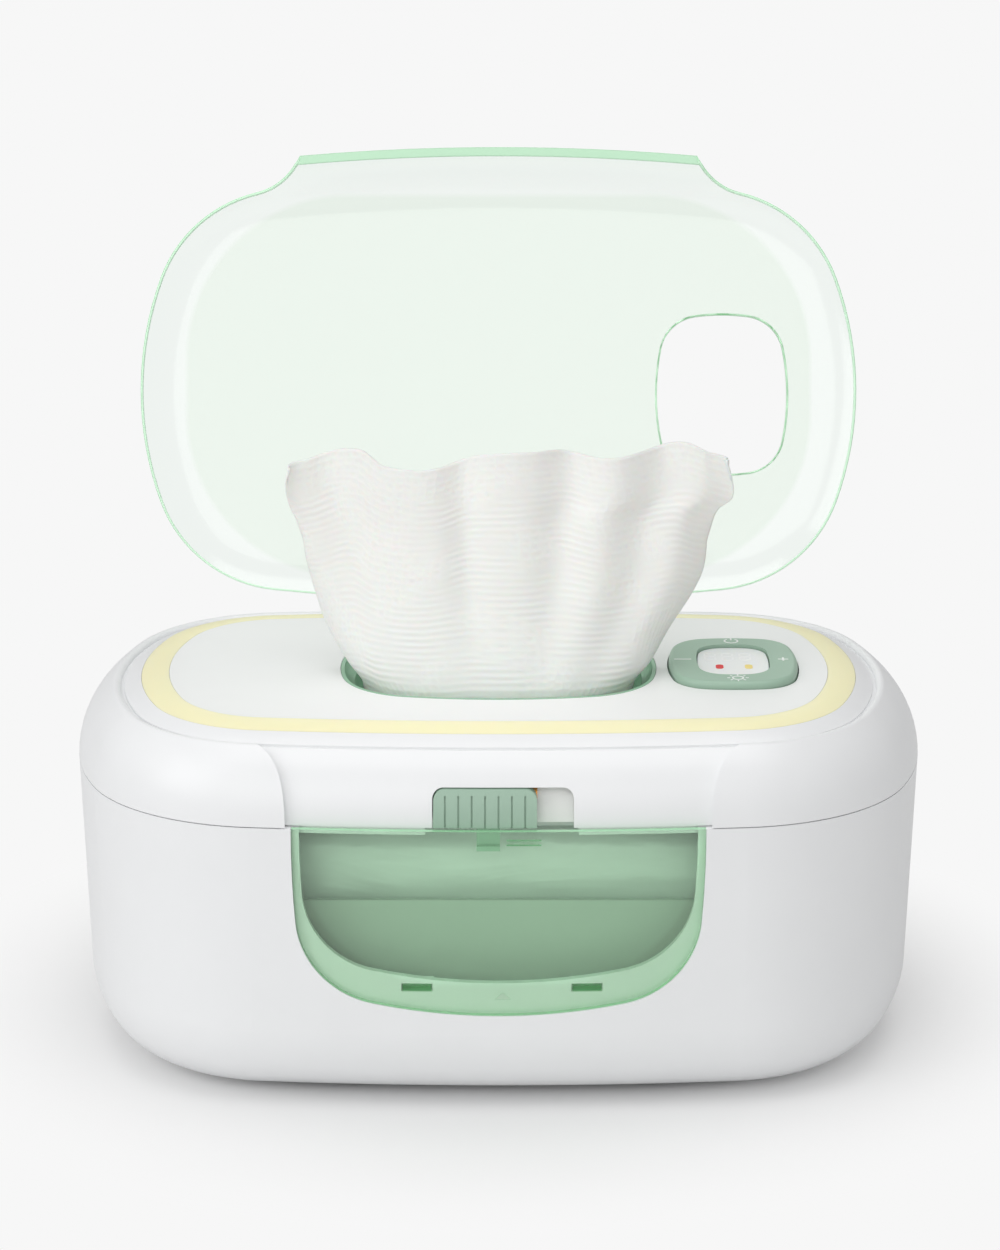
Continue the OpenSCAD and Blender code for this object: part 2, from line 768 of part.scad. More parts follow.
module top_plate() {
    z0 = deck_z - plate_t;
    color("whitesmoke") difference() {
        union() {
            slab(z0, plate_t) oval(body_plan, -ring_in);
            for (b = board_post) translate([b.x, b.y, board_z + board_t])
                cylinder(r = 2.6, h = z0 - board_z - board_t + over / 2, $fn = fine);
        }
        slab(z0 - over, 10) oval(mouth_plan, 0.15 - lip);
        slab(deck_z - lip_t, 10) oval(mouth_plan, 0.15);
        translate([key_x, 0, 0]) slab(z0 - over, 10) oval(key_plan, 0.4);
        for (b = board_post) translate([b.x, b.y, board_z])
            cylinder(r = 1.05, h = 6, $fn = fine);
    }
}

// Rim of the opening: a concave lip that runs down into a throat
module dispensing_rim() {
    neck_z = deck_z - plate_t - 1.2;
    color([0.62, 0.82, 0.68]) sweep(mouth_plan) difference() {
        polygon([[0, deck_z], [0, deck_z - lip_t], [-lip, deck_z - lip_t], [-lip, neck_z],
            [throat_wall - throat, neck_z - 1.8], [throat_wall - throat, heat_z + heat_t],
            [-throat, heat_z + heat_t], [-throat, deck_z]]);
        translate([-bowl_r - 0.4, deck_z + 3]) rotate(90) circle(bowl_r, $fn = fine);
    }
}

// ---------------------------------------------------------------- keys and board

post_y = key_d / 2 + 4;
board_post = [for (x = [3.4 - key_w / 2, key_w / 2 - 7.4], y = [-post_y, post_y]) [key_x + x, y]];
board_mid = key_x - 2;
key_z = deck_z - 3.2;
key_top = top_z - 0.2;

module key_ring() {
    edge = 1.4;
    color([0.6, 0.73, 0.64]) translate([key_x, 0, 0]) difference() {
        union() {
            sweep(key_plan) {
                translate([-6, key_z]) square([6 - edge, key_top - key_z]);
                translate([-edge, key_z]) square([edge, key_top - edge - key_z]);
                translate([-edge, key_top - edge]) quarter(edge);
            }
            slab(key_z, key_top - key_z) oval(key_plan, -5);
            slab(key_z, 0.6) oval(key_plan, 1.1);
        }
        slab(key_z - over, 20) oval(show_plan, 0.3);
    }
}

module display_lens() {
    color("white") translate([key_x, 0, 0]) slab(deck_z - 1.4, 2.6) oval(show_plan);
}

module digit_display() {
    color("dimgray") translate([key_x, 0, 0])
        slab(board_z + board_t, deck_z - 1.6 - board_z - board_t) rounded(show_w - 4.2, show_d - 5.2, 1.5);
}

module key_switches() {
    z = board_z + board_t;
    color("black") for (v = [[0, key_d / 2 - 4.2], [0, 4.2 - key_d / 2], [key_w / 2 - 4.2, 0],
            [4.2 - key_w / 2, 0]])
        translate([key_x + v.x, v.y, z]) {
            translate([-2.2, -2.2, 0]) cube([4.4, 4.4, 2]);
            cylinder(r = 1.3, h = key_z - z - key_travel - 0.1, $fn = fine);
        }
}

module control_board() {
    color("seagreen") slab(board_z, board_t) difference() {
        translate([board_mid, 0]) rounded(key_w - 0.8, 2 * post_y + 6.8, 4);
        for (b = board_post) translate(b) circle(1.2, $fn = fine);
    }
}

module board_screws() {
    color("silver") for (b = board_post) translate([b.x, b.y, board_z - 1.2]) {
        cylinder(r = 2, h = 1.2, $fn = fine);
        cylinder(r = 1, h = 6, $fn = fine);
    }
}

// ---------------------------------------------------------------- heater stack and liner

heater_w = tank_w - 54;
heater_d = tank_d - 31;
fuse_x = 15 - heater_w / 2;
module heater_plan(grow, hole) {
    difference() {
        rounded(heater_w + 2 * grow, heater_d + 2 * grow, 12 + grow);
        oval(mouth_plan, hole);
    }
}

module deck_liner() {
    color("white") difference() {
        union() {
            slab(liner_z, liner_t) oval(body_plan, -deck_in - slip);
            sweep(body_plan) translate([-deck_in - slip - 2.2, seam_z - 2.8]) square([2.2, 3.6]);
        }
        slab(liner_z - over, 10) rounded(heater_w, heater_d, 12);
        for (b = liner_boss) translate([b.x, b.y, liner_z - over])
            cylinder(r = screw_r + 0.2, h = 10, $fn = fine);
        translate([slot_left - 2, -half_d, seam_z - 10]) cube([slider_w + slider_travel + 4, 13, 20]);
    }
}

module heat_plate() {
    color("lightgray") slab(heat_z, heat_t) heater_plan(3, -throat - 0.5);
}

module heater_film() {
    color("darkorange") slab(heat_z + heat_t, film_t) heater_plan(1, -1.2);
}

module foam_pad() {
    color("lightgray") slab(heat_z + heat_t + film_t, foam_t) difference() {
        heater_plan(1, -1.2);
        translate([fuse_x, 0]) circle(5.4, $fn = fine);
        translate([fuse_x + 3, 20]) rounded(12, 24, 2);
    }
}

module thermal_fuse() {
    color("silver") translate([fuse_x, 0, heat_z + heat_t + film_t]) {
        cylinder(r = 5, h = 3.6, $fn = fine);
        cylinder(r = 3.4, h = 4.6, $fn = fine);
    }
}

module thermistor() {
    color("black") translate([fuse_x, 12, heat_z + heat_t + film_t + 1.6]) rotate([-90, 0, 0])
        cylinder(r = 1.6, h = 8, $fn = fine);
}

module seal_gasket() {
    color("lightgray") sweep(body_plan) translate([-16, flange_z + flange_t + slip])
        square([2.8, liner_z - flange_z - flange_t - slip]);
}

module liner_screws() {
    color("silver") for (b = liner_boss) translate([b.x, b.y, liner_z]) {
        translate([0, 0, -head_h]) cylinder(r = 2.1, h = head_h, $fn = fine);
        cylinder(r = screw_r, h = 9, $fn = fine);
    }
}

// ---------------------------------------------------------------- inlet and leads

jack_z = seam_z + 8;
jack_r = 5.2;
module dc_jack() {
    color("dimgray") translate([0, 0, jack_z]) {
        difference() {
            union() {
                translate([0, half_d - 3.8, 0]) rotate([90, 0, 0])
                    cylinder(r = jack_r - 0.15, h = 6.4, $fn = fine);
                translate([-5.5, half_d - 20, -5.1]) cube([11, 10.8, 9.5]);
            }
            translate([0, half_d, 0]) rotate([90, 0, 0]) cylinder(r = 2.9, h = 12, $fn = fine);
        }
        translate([0, half_d - 5, 0]) rotate([90, 0, 0]) cylinder(r = 1, h = 9, $fn = fine);
    }
}

// Round tube along a list of points
function along(pts, i) = let (a = pts[max(i - 1, 0)], b = pts[min(i + 1, len(pts) - 1)])
    (b - a) / norm(b - a);
function across(t) = let (v = cross(t, [0, 0, 1])) norm(v) < 0.01 ? [1, 0, 0] : v / norm(v);
module tube(pts, r, sides = 8) {
    n = len(pts);
    ring = [for (i = [0:n - 1]) let (t = along(pts, i), u = across(t), v = cross(t, u))
        for (k = [0:sides - 1]) pts[i] + r * (cos(360 * k / sides) * u + sin(360 * k / sides) * v)];
    walls = [for (i = [0:n - 2], k = [0:sides - 1]) let (m = (k + 1) % sides)
        each [[i * sides + k, (i + 1) * sides + k, (i + 1) * sides + m],
            [i * sides + k, (i + 1) * sides + m, i * sides + m]]];
    ends = [[for (k = [0:sides - 1]) k], [for (k = [sides - 1:-1:0]) (n - 1) * sides + k]];
    polyhedron(ring, concat(walls, ends));
}

module power_lead() {
    y = half_d - 20 - slip;
    color("black") tube([[0, y, jack_z], [1, y - 3, jack_z + 0.4], [6, y - 7, jack_z + 1.4],
        [16, y - 11, jack_z + 2], [30, y - 17, jack_z + 2.2], [42, y - 24, jack_z + 2.2],
        [key_x - 17, y - 31, jack_z + 2], [key_x - 13, y - 36, jack_z + 1.8],
        [key_x - 12, y - 38, board_z - 1.6], [key_x - 12, y - 38, board_z - slip]], 1.2);
}

module heater_lead() {
    z = heat_z + heat_t + film_t;
    color("firebrick") tube([[fuse_x, 20 + slip, z + 1.6], [fuse_x, 22, z + 1.6],
        [fuse_x + 3.6, 26, z + 2.8], [fuse_x + 10, 31, z + 4.6],
        [-38, 36.4, z + 5], [-20, 38, z + 5], [0, 38, z + 5], [20, 37, z + 5], [36, 33, z + 5],
        [46, 25, z + 5.4], [key_x - 15, 18, z + 6], [key_x - 13, 14, board_z - 1.6],
        [key_x - 13, 14, board_z - slip]], 1);
}

// ---------------------------------------------------------------- latch

module latch_skin(i0, i1) {
    sweep_front(body_plan) shoulder_skin(i0, i1, -20);
}

module latch_slider() {
    pitch = 3.65;
    color([0.58, 0.71, 0.62]) {
        difference() {
            intersection() {
                latch_skin(recess - 0.7, recess + 2.4);
                through_front() translate([slider_left, seam_z + 0.2]) latch_shape(slider_w, slider_h);
            }
            // Grooves keep one depth below the curved face
            intersection() {
                latch_skin(recess - 3, recess - 0.1);
                through_front()
                    for (k = [0:grip_grooves - 1])
                        translate([slider_left + (slider_w - (grip_grooves - 1) * pitch) / 2 + k * pitch - 0.25,
                            seam_z - over])
                            square([0.5, slider_h - 1.4 + over]);
            }
        }
        // Tail behind the wall, and the hook below it
        translate([hook_x, -half_d + recess + 2, seam_z - hook_drop]) cube([hook_w, 1.8, hook_drop + 4]);
        translate([hook_x, -half_d + pane_t + 0.8, seam_z - hook_drop]) cube([hook_w, 2, 1.3]);
    }
}

module latch_rail() {
    w = slider_w + slider_travel + 12;
    foot_z = seam_z + 0.3;
    color("white") difference() {
        intersection() {
            latch_skin(recess + 4.2, recess + 5.6);
            through_front() {
                translate([slot_left - 5.7, heat_z + slip]) square([w, slot_h - 1]);
                translate([slot_left - 1.4, foot_z]) square([slider_w + slider_travel + 2.8, heat_z + 1 - foot_z]);
            }
        }
        translate([slot_left, -half_d, seam_z + 8.2]) cube([slider_w + slider_travel, 8, 0.5]);
    }
}

module detent_spring() {
    color("peru") intersection() {
        latch_skin(recess + 3.4, recess + 4.1);
        through_front() translate([2, seam_z + 7]) square([8.6, 5]);
    }
}

// ---------------------------------------------------------------- lid

// Shut lid: a skin of the shoulder with a flat middle, in the deck's own frame
module lid_shut() {
    difference() {
        union() {
            intersection() {
                sweep(body_plan) difference() {
                    shoulder(0, -shoulder_r - 3);
                    shoulder(lid_t, -shoulder_r - 4);
                }
                slab(seam_z + flap_rise, shoulder_r) lid_plan(0);
            }
            slab(top_z - lid_t, lid_t) oval(body_plan, -shoulder_r - 2);
        }
        translate([key_x, 1.2, 0]) slab(top_z - 10, 20) oval(hole_plan);
    }
    for (s = [-1, 1]) lid_knuckle(s * lid_hinge_x);
}

module lid_knuckle(x) {
    rear_y = half_d - lid_in - x * x / (2 * body_plan[3]);
    translate([x - lid_knuckle_w / 2, 0, 0]) difference() {
        union() {
            translate([0, lid_axis_y, lid_axis_z]) rotate([0, 90, 0])
                cylinder(r = knuckle_r, h = lid_knuckle_w, $fn = fine);
            translate([0, rear_y - strap_in, lid_axis_z + 0.1])
                cube([lid_knuckle_w, lid_axis_y - rear_y + strap_in, 2.4]);
        }
        translate([-over, lid_axis_y, lid_axis_z]) rotate([0, 90, 0])
            cylinder(r = lid_pin_r + pin_gap, h = lid_knuckle_w + 2 * over, $fn = fine);
    }
}

module lid() {
    color([0.85, 0.95, 0.89, 0.6]) translate([0, lid_axis_y, lid_axis_z]) rotate([-lid_swing, 0, 0])
        translate([0, -lid_axis_y, -lid_axis_z]) lid_shut();
}

// ---------------------------------------------------------------- drawn wipe

wipe_foot = heat_z + heat_t + film_t + 2;
wipe_cols = 44;
wipe_rows = 11;
// The sheet lies along the front of the throat, and flattens and widens as it rises
throat_x = mouth_w / 2 - throat - slip - wipe_t / 2;
throat_y = mouth_d / 2 - throat - slip - wipe_t / 2;
square_off = 0.72;
function signed(v, e) = sign(v) * pow(abs(v), e);
function wipe_lift(v) = let (z = wipe_foot + v * (deck_z + wipe_rise - wipe_foot))
    max(0, min(1, (z - deck_z) / wipe_rise));
function wipe_open(v) = 1 - pow(1 - wipe_lift(v), 1.25);
function wipe_fold(u) = 5 * sin(360 * (1.9 * u + 0.12)) + 1.6 * sin(360 * 3.1 * u + 70);
function wipe_mid(u, v) = let (w = wipe_open(v))
    (1 - w) * [throat_x * signed(sin(90 * u), square_off),
        -throat_y * signed(max(0, cos(90 * u)), square_off)]
    + w * [wipe_w / 2 * u, wipe_fold(u) - 7 + 5 * u * u];
function wipe_top(u) = deck_z + wipe_rise - 5 * pow(abs(u), 3) + 2 * cos(360 * 1.7 * u + 20) - 1;
function wipe_point(u, v, side) = let (e = 0.01, t = wipe_mid(min(1, u + e), v) - wipe_mid(max(-1, u - e), v),
        m = wipe_mid(u, v) + side * wipe_t / 2 / norm(t) * [-t.y, t.x])
    [m.x, m.y, wipe_foot + (wipe_top(u) - wipe_foot) * v];

module wipe_sheet() {
    n = wipe_cols + 1;
    m = wipe_rows + 1;
    pts = [for (side = [-1, 1], j = [0:wipe_rows], i = [0:wipe_cols])
        wipe_point(2 * i / wipe_cols - 1, j / wipe_rows, side)];
    function at(side, j, i) = side * n * m + j * n + i;
    faces = [
        for (j = [0:wipe_rows - 1], i = [0:wipe_cols - 1]) each [
            [at(0, j, i), at(0, j + 1, i), at(0, j + 1, i + 1)],
            [at(0, j, i), at(0, j + 1, i + 1), at(0, j, i + 1)],
            [at(1, j, i), at(1, j + 1, i + 1), at(1, j + 1, i)],
            [at(1, j, i), at(1, j, i + 1), at(1, j + 1, i + 1)]],
        for (i = [0:wipe_cols - 1]) each [
            [at(0, 0, i), at(0, 0, i + 1), at(1, 0, i + 1)],
            [at(0, 0, i), at(1, 0, i + 1), at(1, 0, i)],
            [at(0, wipe_rows, i), at(1, wipe_rows, i + 1), at(0, wipe_rows, i + 1)],
            [at(0, wipe_rows, i), at(1, wipe_rows, i), at(1, wipe_rows, i + 1)]],
        for (j = [0:wipe_rows - 1]) each [
            [at(0, j, 0), at(1, j, 0), at(1, j + 1, 0)],
            [at(0, j, 0), at(1, j + 1, 0), at(0, j + 1, 0)],
            [at(0, j, wipe_cols), at(1, j + 1, wipe_cols), at(1, j, wipe_cols)],
            [at(0, j, wipe_cols), at(0, j + 1, wipe_cols), at(1, j + 1, wipe_cols)]]];
    color("white") polyhedron(pts, faces);
}

// ---------------------------------------------------------------- parts

module stand() {
    translate([0, -shift_y, 0]) children();
}

stand() base_shell();
stand() window_pane();
stand() inner_tank();
stand() bottom_cover();
stand() cover_screws();
stand() rubber_feet();
stand() deck_hinge_pins();
stand() wipe_pack();
stand() deck_shell();
stand() light_ring();
stand() top_plate();
stand() dispensing_rim();
stand() led_board();
stand() led_chips();
stand() control_board();
stand() key_switches();
stand() board_screws();
stand() digit_display();
stand() display_lens();
stand() latch_rail();
stand() detent_spring();
stand() heat_plate();
stand() heater_film();
stand() thermal_fuse();
stand() thermistor();
stand() foam_pad();
stand() deck_liner();
stand() seal_gasket();
stand() liner_screws();
stand() dc_jack();
stand() power_lead();
stand() heater_lead();
stand() lid_hinge_pins();
stand() wipe_sheet();
stand() key_ring();
stand() latch_slider();
stand() lid();
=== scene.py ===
"""Looks of a baby wipe warmer: studio, camera, finishes, and its soft and printed pieces."""

import logging
import math
from collections.abc import Callable
from dataclasses import dataclass, field
from enum import Enum
from functools import partial

import bmesh
import bpy
from bmesh.types import BMesh, BMVert
from bpy.types import Material, Node, NodeSocket, NodeTree, Object
from mathutils import Matrix, Vector, noise
from mathutils.bvhtree import BVHTree

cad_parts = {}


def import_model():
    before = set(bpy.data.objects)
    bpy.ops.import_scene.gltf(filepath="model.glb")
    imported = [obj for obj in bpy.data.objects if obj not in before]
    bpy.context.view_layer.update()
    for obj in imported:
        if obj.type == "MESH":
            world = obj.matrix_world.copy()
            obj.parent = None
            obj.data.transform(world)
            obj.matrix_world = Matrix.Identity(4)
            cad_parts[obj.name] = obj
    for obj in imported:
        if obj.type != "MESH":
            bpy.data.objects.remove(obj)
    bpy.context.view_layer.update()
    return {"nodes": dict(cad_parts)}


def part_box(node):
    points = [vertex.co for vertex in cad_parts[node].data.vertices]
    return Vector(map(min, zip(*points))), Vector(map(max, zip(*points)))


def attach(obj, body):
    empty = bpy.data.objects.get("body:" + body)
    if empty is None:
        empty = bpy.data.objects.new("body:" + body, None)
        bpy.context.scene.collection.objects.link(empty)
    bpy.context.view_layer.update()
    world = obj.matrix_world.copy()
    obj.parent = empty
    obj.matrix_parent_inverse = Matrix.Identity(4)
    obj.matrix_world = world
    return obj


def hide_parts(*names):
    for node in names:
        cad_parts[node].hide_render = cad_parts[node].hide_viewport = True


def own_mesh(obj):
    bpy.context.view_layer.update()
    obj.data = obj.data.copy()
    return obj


Triple = tuple[float, float, float]
Colour = tuple[float, float, float, float]
Curve = tuple[tuple[float, float], ...]
Settings = dict[str | int, object]
Links = dict[str | int, Node | NodeSocket]
Verts = list[BMVert]
Adder = Callable[..., Node]

log = logging.getLogger("wipe_warmer")
MM = 0.001
WHITE: Colour = (1.0, 1.0, 1.0, 1.0)
# Range that a noise texture mostly keeps to
NOISE = (0.3, 0.7)
SMOOTHSTEP: Settings = {"interpolation_type": "SMOOTHSTEP"}
BEVEL = {"profile": 0.5, "affect": "EDGES", "material": -1}
# Middle, half sizes and corner radius of the window opening in its own plane, which is measured downwards
WINDOW_FRAME = (-0.080, 0.0552, 0.0417, 0.040)
# Direction that the open lid's flat middle faces, and its middle, half sizes and corner radius in that plane
LID_FACES = (0.0, 0.9537, -0.3007)
LID_FRAME = (-0.1815, 0.1071, 0.0707, 0.062)


class Body(str, Enum):
    """Bodies of the frame that pieces ride on."""

    BASE = "base"
    DECK = "deck"
    KEYS = "keys"
    LID = "lid"


def srgb(code: str) -> Colour:
    """Turns an sRGB hex colour into linear values.

    Args:
        code: Colour as #RRGGBB.

    Returns:
        Red, green and blue, linear, and an alpha of 1.
    """
    parts = [int(code[i : i + 2], 16) / 255 for i in (1, 3, 5)]
    linear = [p / 12.92 if p <= 0.04045 else ((p + 0.055) / 1.055) ** 2.4 for p in parts]
    return (*linear, 1.0)


def scaled(colour: Colour, share: float) -> Colour:
    """Returns a colour made darker or lighter by a share, but never lighter than white."""
    return (*(min(1.0, c * share) for c in colour[:3]), 1.0)


def from_to(low: Colour, high: Colour) -> Settings:
    """Returns the settings of a Mix node between two colours, which are its inputs 6 and 7."""
    return {"data_type": "RGBA", 6: low, 7: high}


def ramp(low: float, high: float, start: float = 0.0, end: float = 1.0) -> Settings:
    """Returns the settings of a Map Range node that turns low to high into start to end."""
    return {"From Min": low, "From Max": high, "To Min": start, "To Max": end}


def add_node(
    tree: NodeTree, kind: str, settings: Settings | None = None, links: Links | None = None
) -> Node:
    """Adds a node to a tree with its settings and links.

    Args:
        tree: Node tree that takes the node.
        kind: Blender's name of the node type, without ShaderNode.
        settings: Values by input or property name, or by input number.
        links: Sockets by input name or number. A node stands for the first output that it has in use.

    Returns:
        The new node.
    """
    node = tree.nodes.new("ShaderNode" + kind)
    for key, value in (settings or {}).items():
        if isinstance(key, int) or key in node.inputs:
            node.inputs[key].default_value = value
        else:
            setattr(node, key, value)
    for key, source in (links or {}).items():
        if isinstance(source, Node):
            source = next(output for output in source.outputs if output.enabled)
        tree.links.new(source, node.inputs[key])
    return node


def blank_material(name: str) -> tuple[Material, Adder, Node]:
    """Makes a material that has only its coordinates yet.

    Args:
        name: Name of the material.

    Returns:
        The material, what adds nodes to it, and its coordinate node.
    """
    material = bpy.data.materials.new(name)
    material.use_nodes = True
    material.node_tree.nodes.clear()
    add = partial(add_node, material.node_tree)
    return material, add, add("TexCoord")


def new_object(name: str, shape: BMesh, finish: Material) -> Object:
    """Turns a bmesh into an object of the scene.

    Args:
        name: Name of the object.
        shape: The shape, in metres in the row frame. It is freed.
        finish: Material of the object.

    Returns:
        The new object.
    """
    mesh = bpy.data.meshes.new(name)
    shape.to_mesh(mesh)
    shape.free()
    mesh.materials.append(finish)
    obj = bpy.data.objects.new(name, mesh)
    bpy.context.scene.collection.objects.link(obj)
    return obj


def new_piece(
    name: str, shape: BMesh, finish: Material, body: Body, smooth: bool = False
) -> Object:
    """Turns a bmesh into a finished piece on a body, with its faces pointing outwards.

    Args:
        name: Name of the piece.
        shape: The shape, in metres in the row frame. It is freed.
        finish: Material of the piece.
        body: Body that it rides on.
        smooth: Whether its faces are shaded smooth.

    Returns:
        The new object.
    """
    bmesh.ops.recalc_face_normals(shape, faces=shape.faces)
    if smooth:
        for face in shape.faces:
            face.smooth = True
    obj = new_object(name, shape, finish)
    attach(obj, body.value)
    log.info("%s: %d faces on %s", name, len(obj.data.polygons), body.value)
    return obj


def between(table: Curve, at: float) -> float:
    """Reads a table of points along a smooth curve through them.

    Args:
        table: Points as (place, value), in rising order of place.
        at: Place to read.

    Returns:
        The value there.
    """
    if at <= table[0][0]:
        return table[0][1]
    for k in range(len(table) - 1):
        (a, va), (b, vb) = table[k], table[k + 1]
        if at <= b:
            before, after = table[max(k - 1, 0)], table[min(k + 2, len(table) - 1)]
            slope_a = (vb - before[1]) / (b - before[0])
            slope_b = (after[1] - va) / (after[0] - a)
            t = (at - a) / (b - a)
            rise = t * t * (3 - 2 * t)
            ease_a, ease_b = t * (1 - t) ** 2, t * t * (t - 1)
            return va + (vb - va) * rise + (slope_a * ease_a + slope_b * ease_b) * (b - a)
    return table[-1][1]


def top_middle(node: str) -> Vector:
    """Returns the middle of the top of a solid's box."""
    low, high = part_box(node)
    return Vector(((low.x + high.x) / 2, (low.y + high.y) / 2, high.z))


@dataclass(frozen=True)
class Plastic:
    """Injection moulded ABS, polypropylene or PC: an even colour with a fine spark-eroded grain.

    The grain is too fine to show at this distance, so it is drawn at grain_mm, a few times as coarse.
    """

    name: str
    colour: str
    roughness: float = 0.34
    grain_mm: float = 0.5
    grain_depth_mm: float = 0.012
    cloud_mm: float = 28.0
    mottle: float = 0.03
    # Painted glow: strength of an emission in the base colour, on parts that are no lamps
    glow: float = 0.0
    depth_mm: float = 0.0

    def material(self) -> Material:
        """Builds the plastic: base colour with a faint cloud, uneven gloss, the grain as bump, and a painted
        glow if one is set.

        Returns:
            The material.
        """
        material, add, coords = blank_material(self.name)
        at = {"Vector": coords.outputs["Object"]}
        flow = {"Scale": 1 / (self.cloud_mm * MM), "Detail": 3.0, "Roughness": 0.6}
        cloud = add("TexNoise", flow, at)
        base = srgb(self.colour)
        shades = from_to(scaled(base, 1 - self.mottle), scaled(base, 1 + self.mottle / 2))
        colour = add("Mix", shades, {"Factor": cloud})
        gloss_range = ramp(*NOISE, self.roughness * 0.9, self.roughness * 1.12)
        gloss = add("MapRange", gloss_range, {"Value": cloud})
        grain = add("TexNoise", {"Scale": 1 / (self.grain_mm * MM), "Detail": 2.0}, at)
        bump = add("Bump", {"Strength": 0.6, "Distance": self.grain_depth_mm * MM}, {"Height": grain})
        settings: Settings = {"IOR": 1.53}
        # Painted glow: the part shines in its own colour though it is no lamp
        if self.glow:
            settings |= {"Emission Color": base, "Emission Strength": self.glow}
        if self.depth_mm:
            settings |= {"Subsurface Weight": 0.35, "Subsurface Scale": self.depth_mm * MM}
            settings |= {"Subsurface Radius": (1.0, 0.9, 0.7)}
        links = {"Base Color": colour, "Roughness": gloss, "Normal": bump}
        shader = add("BsdfPrincipled", settings, links)
        add("OutputMaterial", links={"Surface": shader})
        return material


@dataclass(frozen=True)
class ClearPlastic:
    """Moulded clear styrene copolymer (SAN) with a mint dye: pale face on, deep green along its edges."""

    name: str
    dye: Triple
    strength: float
    tint: str
    edge: str
    face_on: Triple
    lip_at: float = -1.0
    roughness: float = 0.03
    gloss: float = 0.04
    coat: float = 1.0
    # Colours of the middle and of the border: the lid's paler border is painted light, and the pane is
    # darker outside its window
    middle: str = "#FFFFFF"
    outer: str = "#FFFFFF"
    # Middle, half width, half height and corner radius of the sheet within its own plane, in metres
    frame_box: tuple[float, ...] = (0.0, 1.0, 1.0, 0.5)
    border_mm: float = 0.0
    flow_mm: float = 35.0
    # Share of light that a cut edge or a lip scatters instead of letting it through
    scatter: float = 0.85

    def material(self) -> Material:
        """Builds clear plastic that takes its colour from the way light travels in it.

        Light that the sheet pipes to its cut edges leaves there, so faces at right angles to face_on, and
        those nearer than lip_at along it, show as mint. The IOR is held low, because a 2 mm sheet barely
        shifts what is behind it, and the coat carries its gloss.

        Returns:
            The material.
        """
        material, add, coords = blank_material(self.name)
        at = coords.outputs["Object"]
        flow = add("TexNoise", {"Scale": 1 / (self.flow_mm * MM), "Detail": 1.0}, {"Vector": at})
        bump = add("Bump", {"Strength": 0.25, "Distance": 0.05 * MM}, {"Height": flow})
        haze_range = ramp(*NOISE, self.roughness * 0.6, self.roughness * 1.5)
        haze = add("MapRange", haze_range, {"Value": flow})
        along = {"operation": "DOT_PRODUCT", 1: self.face_on}
        facing = add("VectorMath", along, {0: coords.outputs["Normal"]})
        flat = add("Math", {"operation": "ABSOLUTE"}, {0: facing})
        side = add("MapRange", ramp(0.30, 0.42, 1.0, 0.0), {"Value": flat})
        depth = add("VectorMath", along, {0: at})
        lip_range = ramp(self.lip_at, self.lip_at + 0.2 * MM, 1.0, 0.0)
        lip = add("MapRange", lip_range, {"Value": depth})
        cut = add("Math", {"operation": "MAXIMUM"}, {0: side, 1: lip})
        clear = add("Math", {"operation": "MULTIPLY_ADD", 1: -self.scatter, 2: 1.0}, {0: cut})
        # Painted light: the lid's border is paler than its middle
        faces = from_to(srgb(self.middle), srgb(self.outer))
        inside = add("Mix", faces, {"Factor": self.border(add, coords)})
        colour = add("Mix", from_to(WHITE, srgb(self.edge)), {"Factor": cut, 6: inside})
        shader = add(
            "BsdfPrincipled",
            {"IOR": 1.08, "Coat Weight": self.coat, "Coat IOR": 1.57, "Coat Roughness": self.gloss},
            {"Base Color": colour, "Transmission Weight": clear, "Roughness": haze, "Normal": bump},
        )
        # Lamps shine through the sheet, tinted once at each face
        ray = add("LightPath")
        through = add("BsdfTransparent", {"Color": srgb(self.tint)})
        shadow = ray.outputs["Is Shadow Ray"]
        shader = add("MixShader", links={0: shadow, 1: shader, 2: through})
        dyed = add("VolumeAbsorption", {"Color": (*self.dye, 1.0), "Density": self.strength})
        add("OutputMaterial", links={"Surface": shader, "Volume": dyed})
        return material

    def border(self, add: Adder, coords: Node) -> Node:
        """Masks the border: on the lid, the paler curved border is painted light where the curve catches the
        light, and on the pane the outer colour darkens the sheet outside its window opening.

        Args:
            add: Adds nodes to the material.
            coords: Its coordinate node.

        Returns:
            Node that is 1 within border_mm of the outline and 0 further in.
        """
        middle, half_x, half_up, corner = self.frame_box
        up = Vector(self.face_on).cross(Vector((1.0, 0.0, 0.0)))
        at = coords.outputs["Object"]
        split = add("SeparateXYZ", links={"Vector": at})
        height = add("VectorMath", {"operation": "DOT_PRODUCT", 1: tuple(up)}, {0: at})
        raised = add("Math", {"operation": "SUBTRACT", 1: middle}, {0: height})
        reach = []
        for source, half in ((split, half_x), (raised, half_up)):
            size = add("Math", {"operation": "ABSOLUTE"}, {0: source})
            past = add("Math", {"operation": "SUBTRACT", 1: half - corner}, {0: size})
            reach.append(add("Math", {"operation": "MAXIMUM", 1: 0.0}, {0: past}))
        pair = add("CombineXYZ", links={"X": reach[0], "Y": reach[1]})
        far = add("VectorMath", {"operation": "LENGTH"}, {0: pair})
        start, fade = corner - self.border_mm * MM, 0.8 * MM
        return add("MapRange", ramp(start - fade, start + fade), {"Value": far})


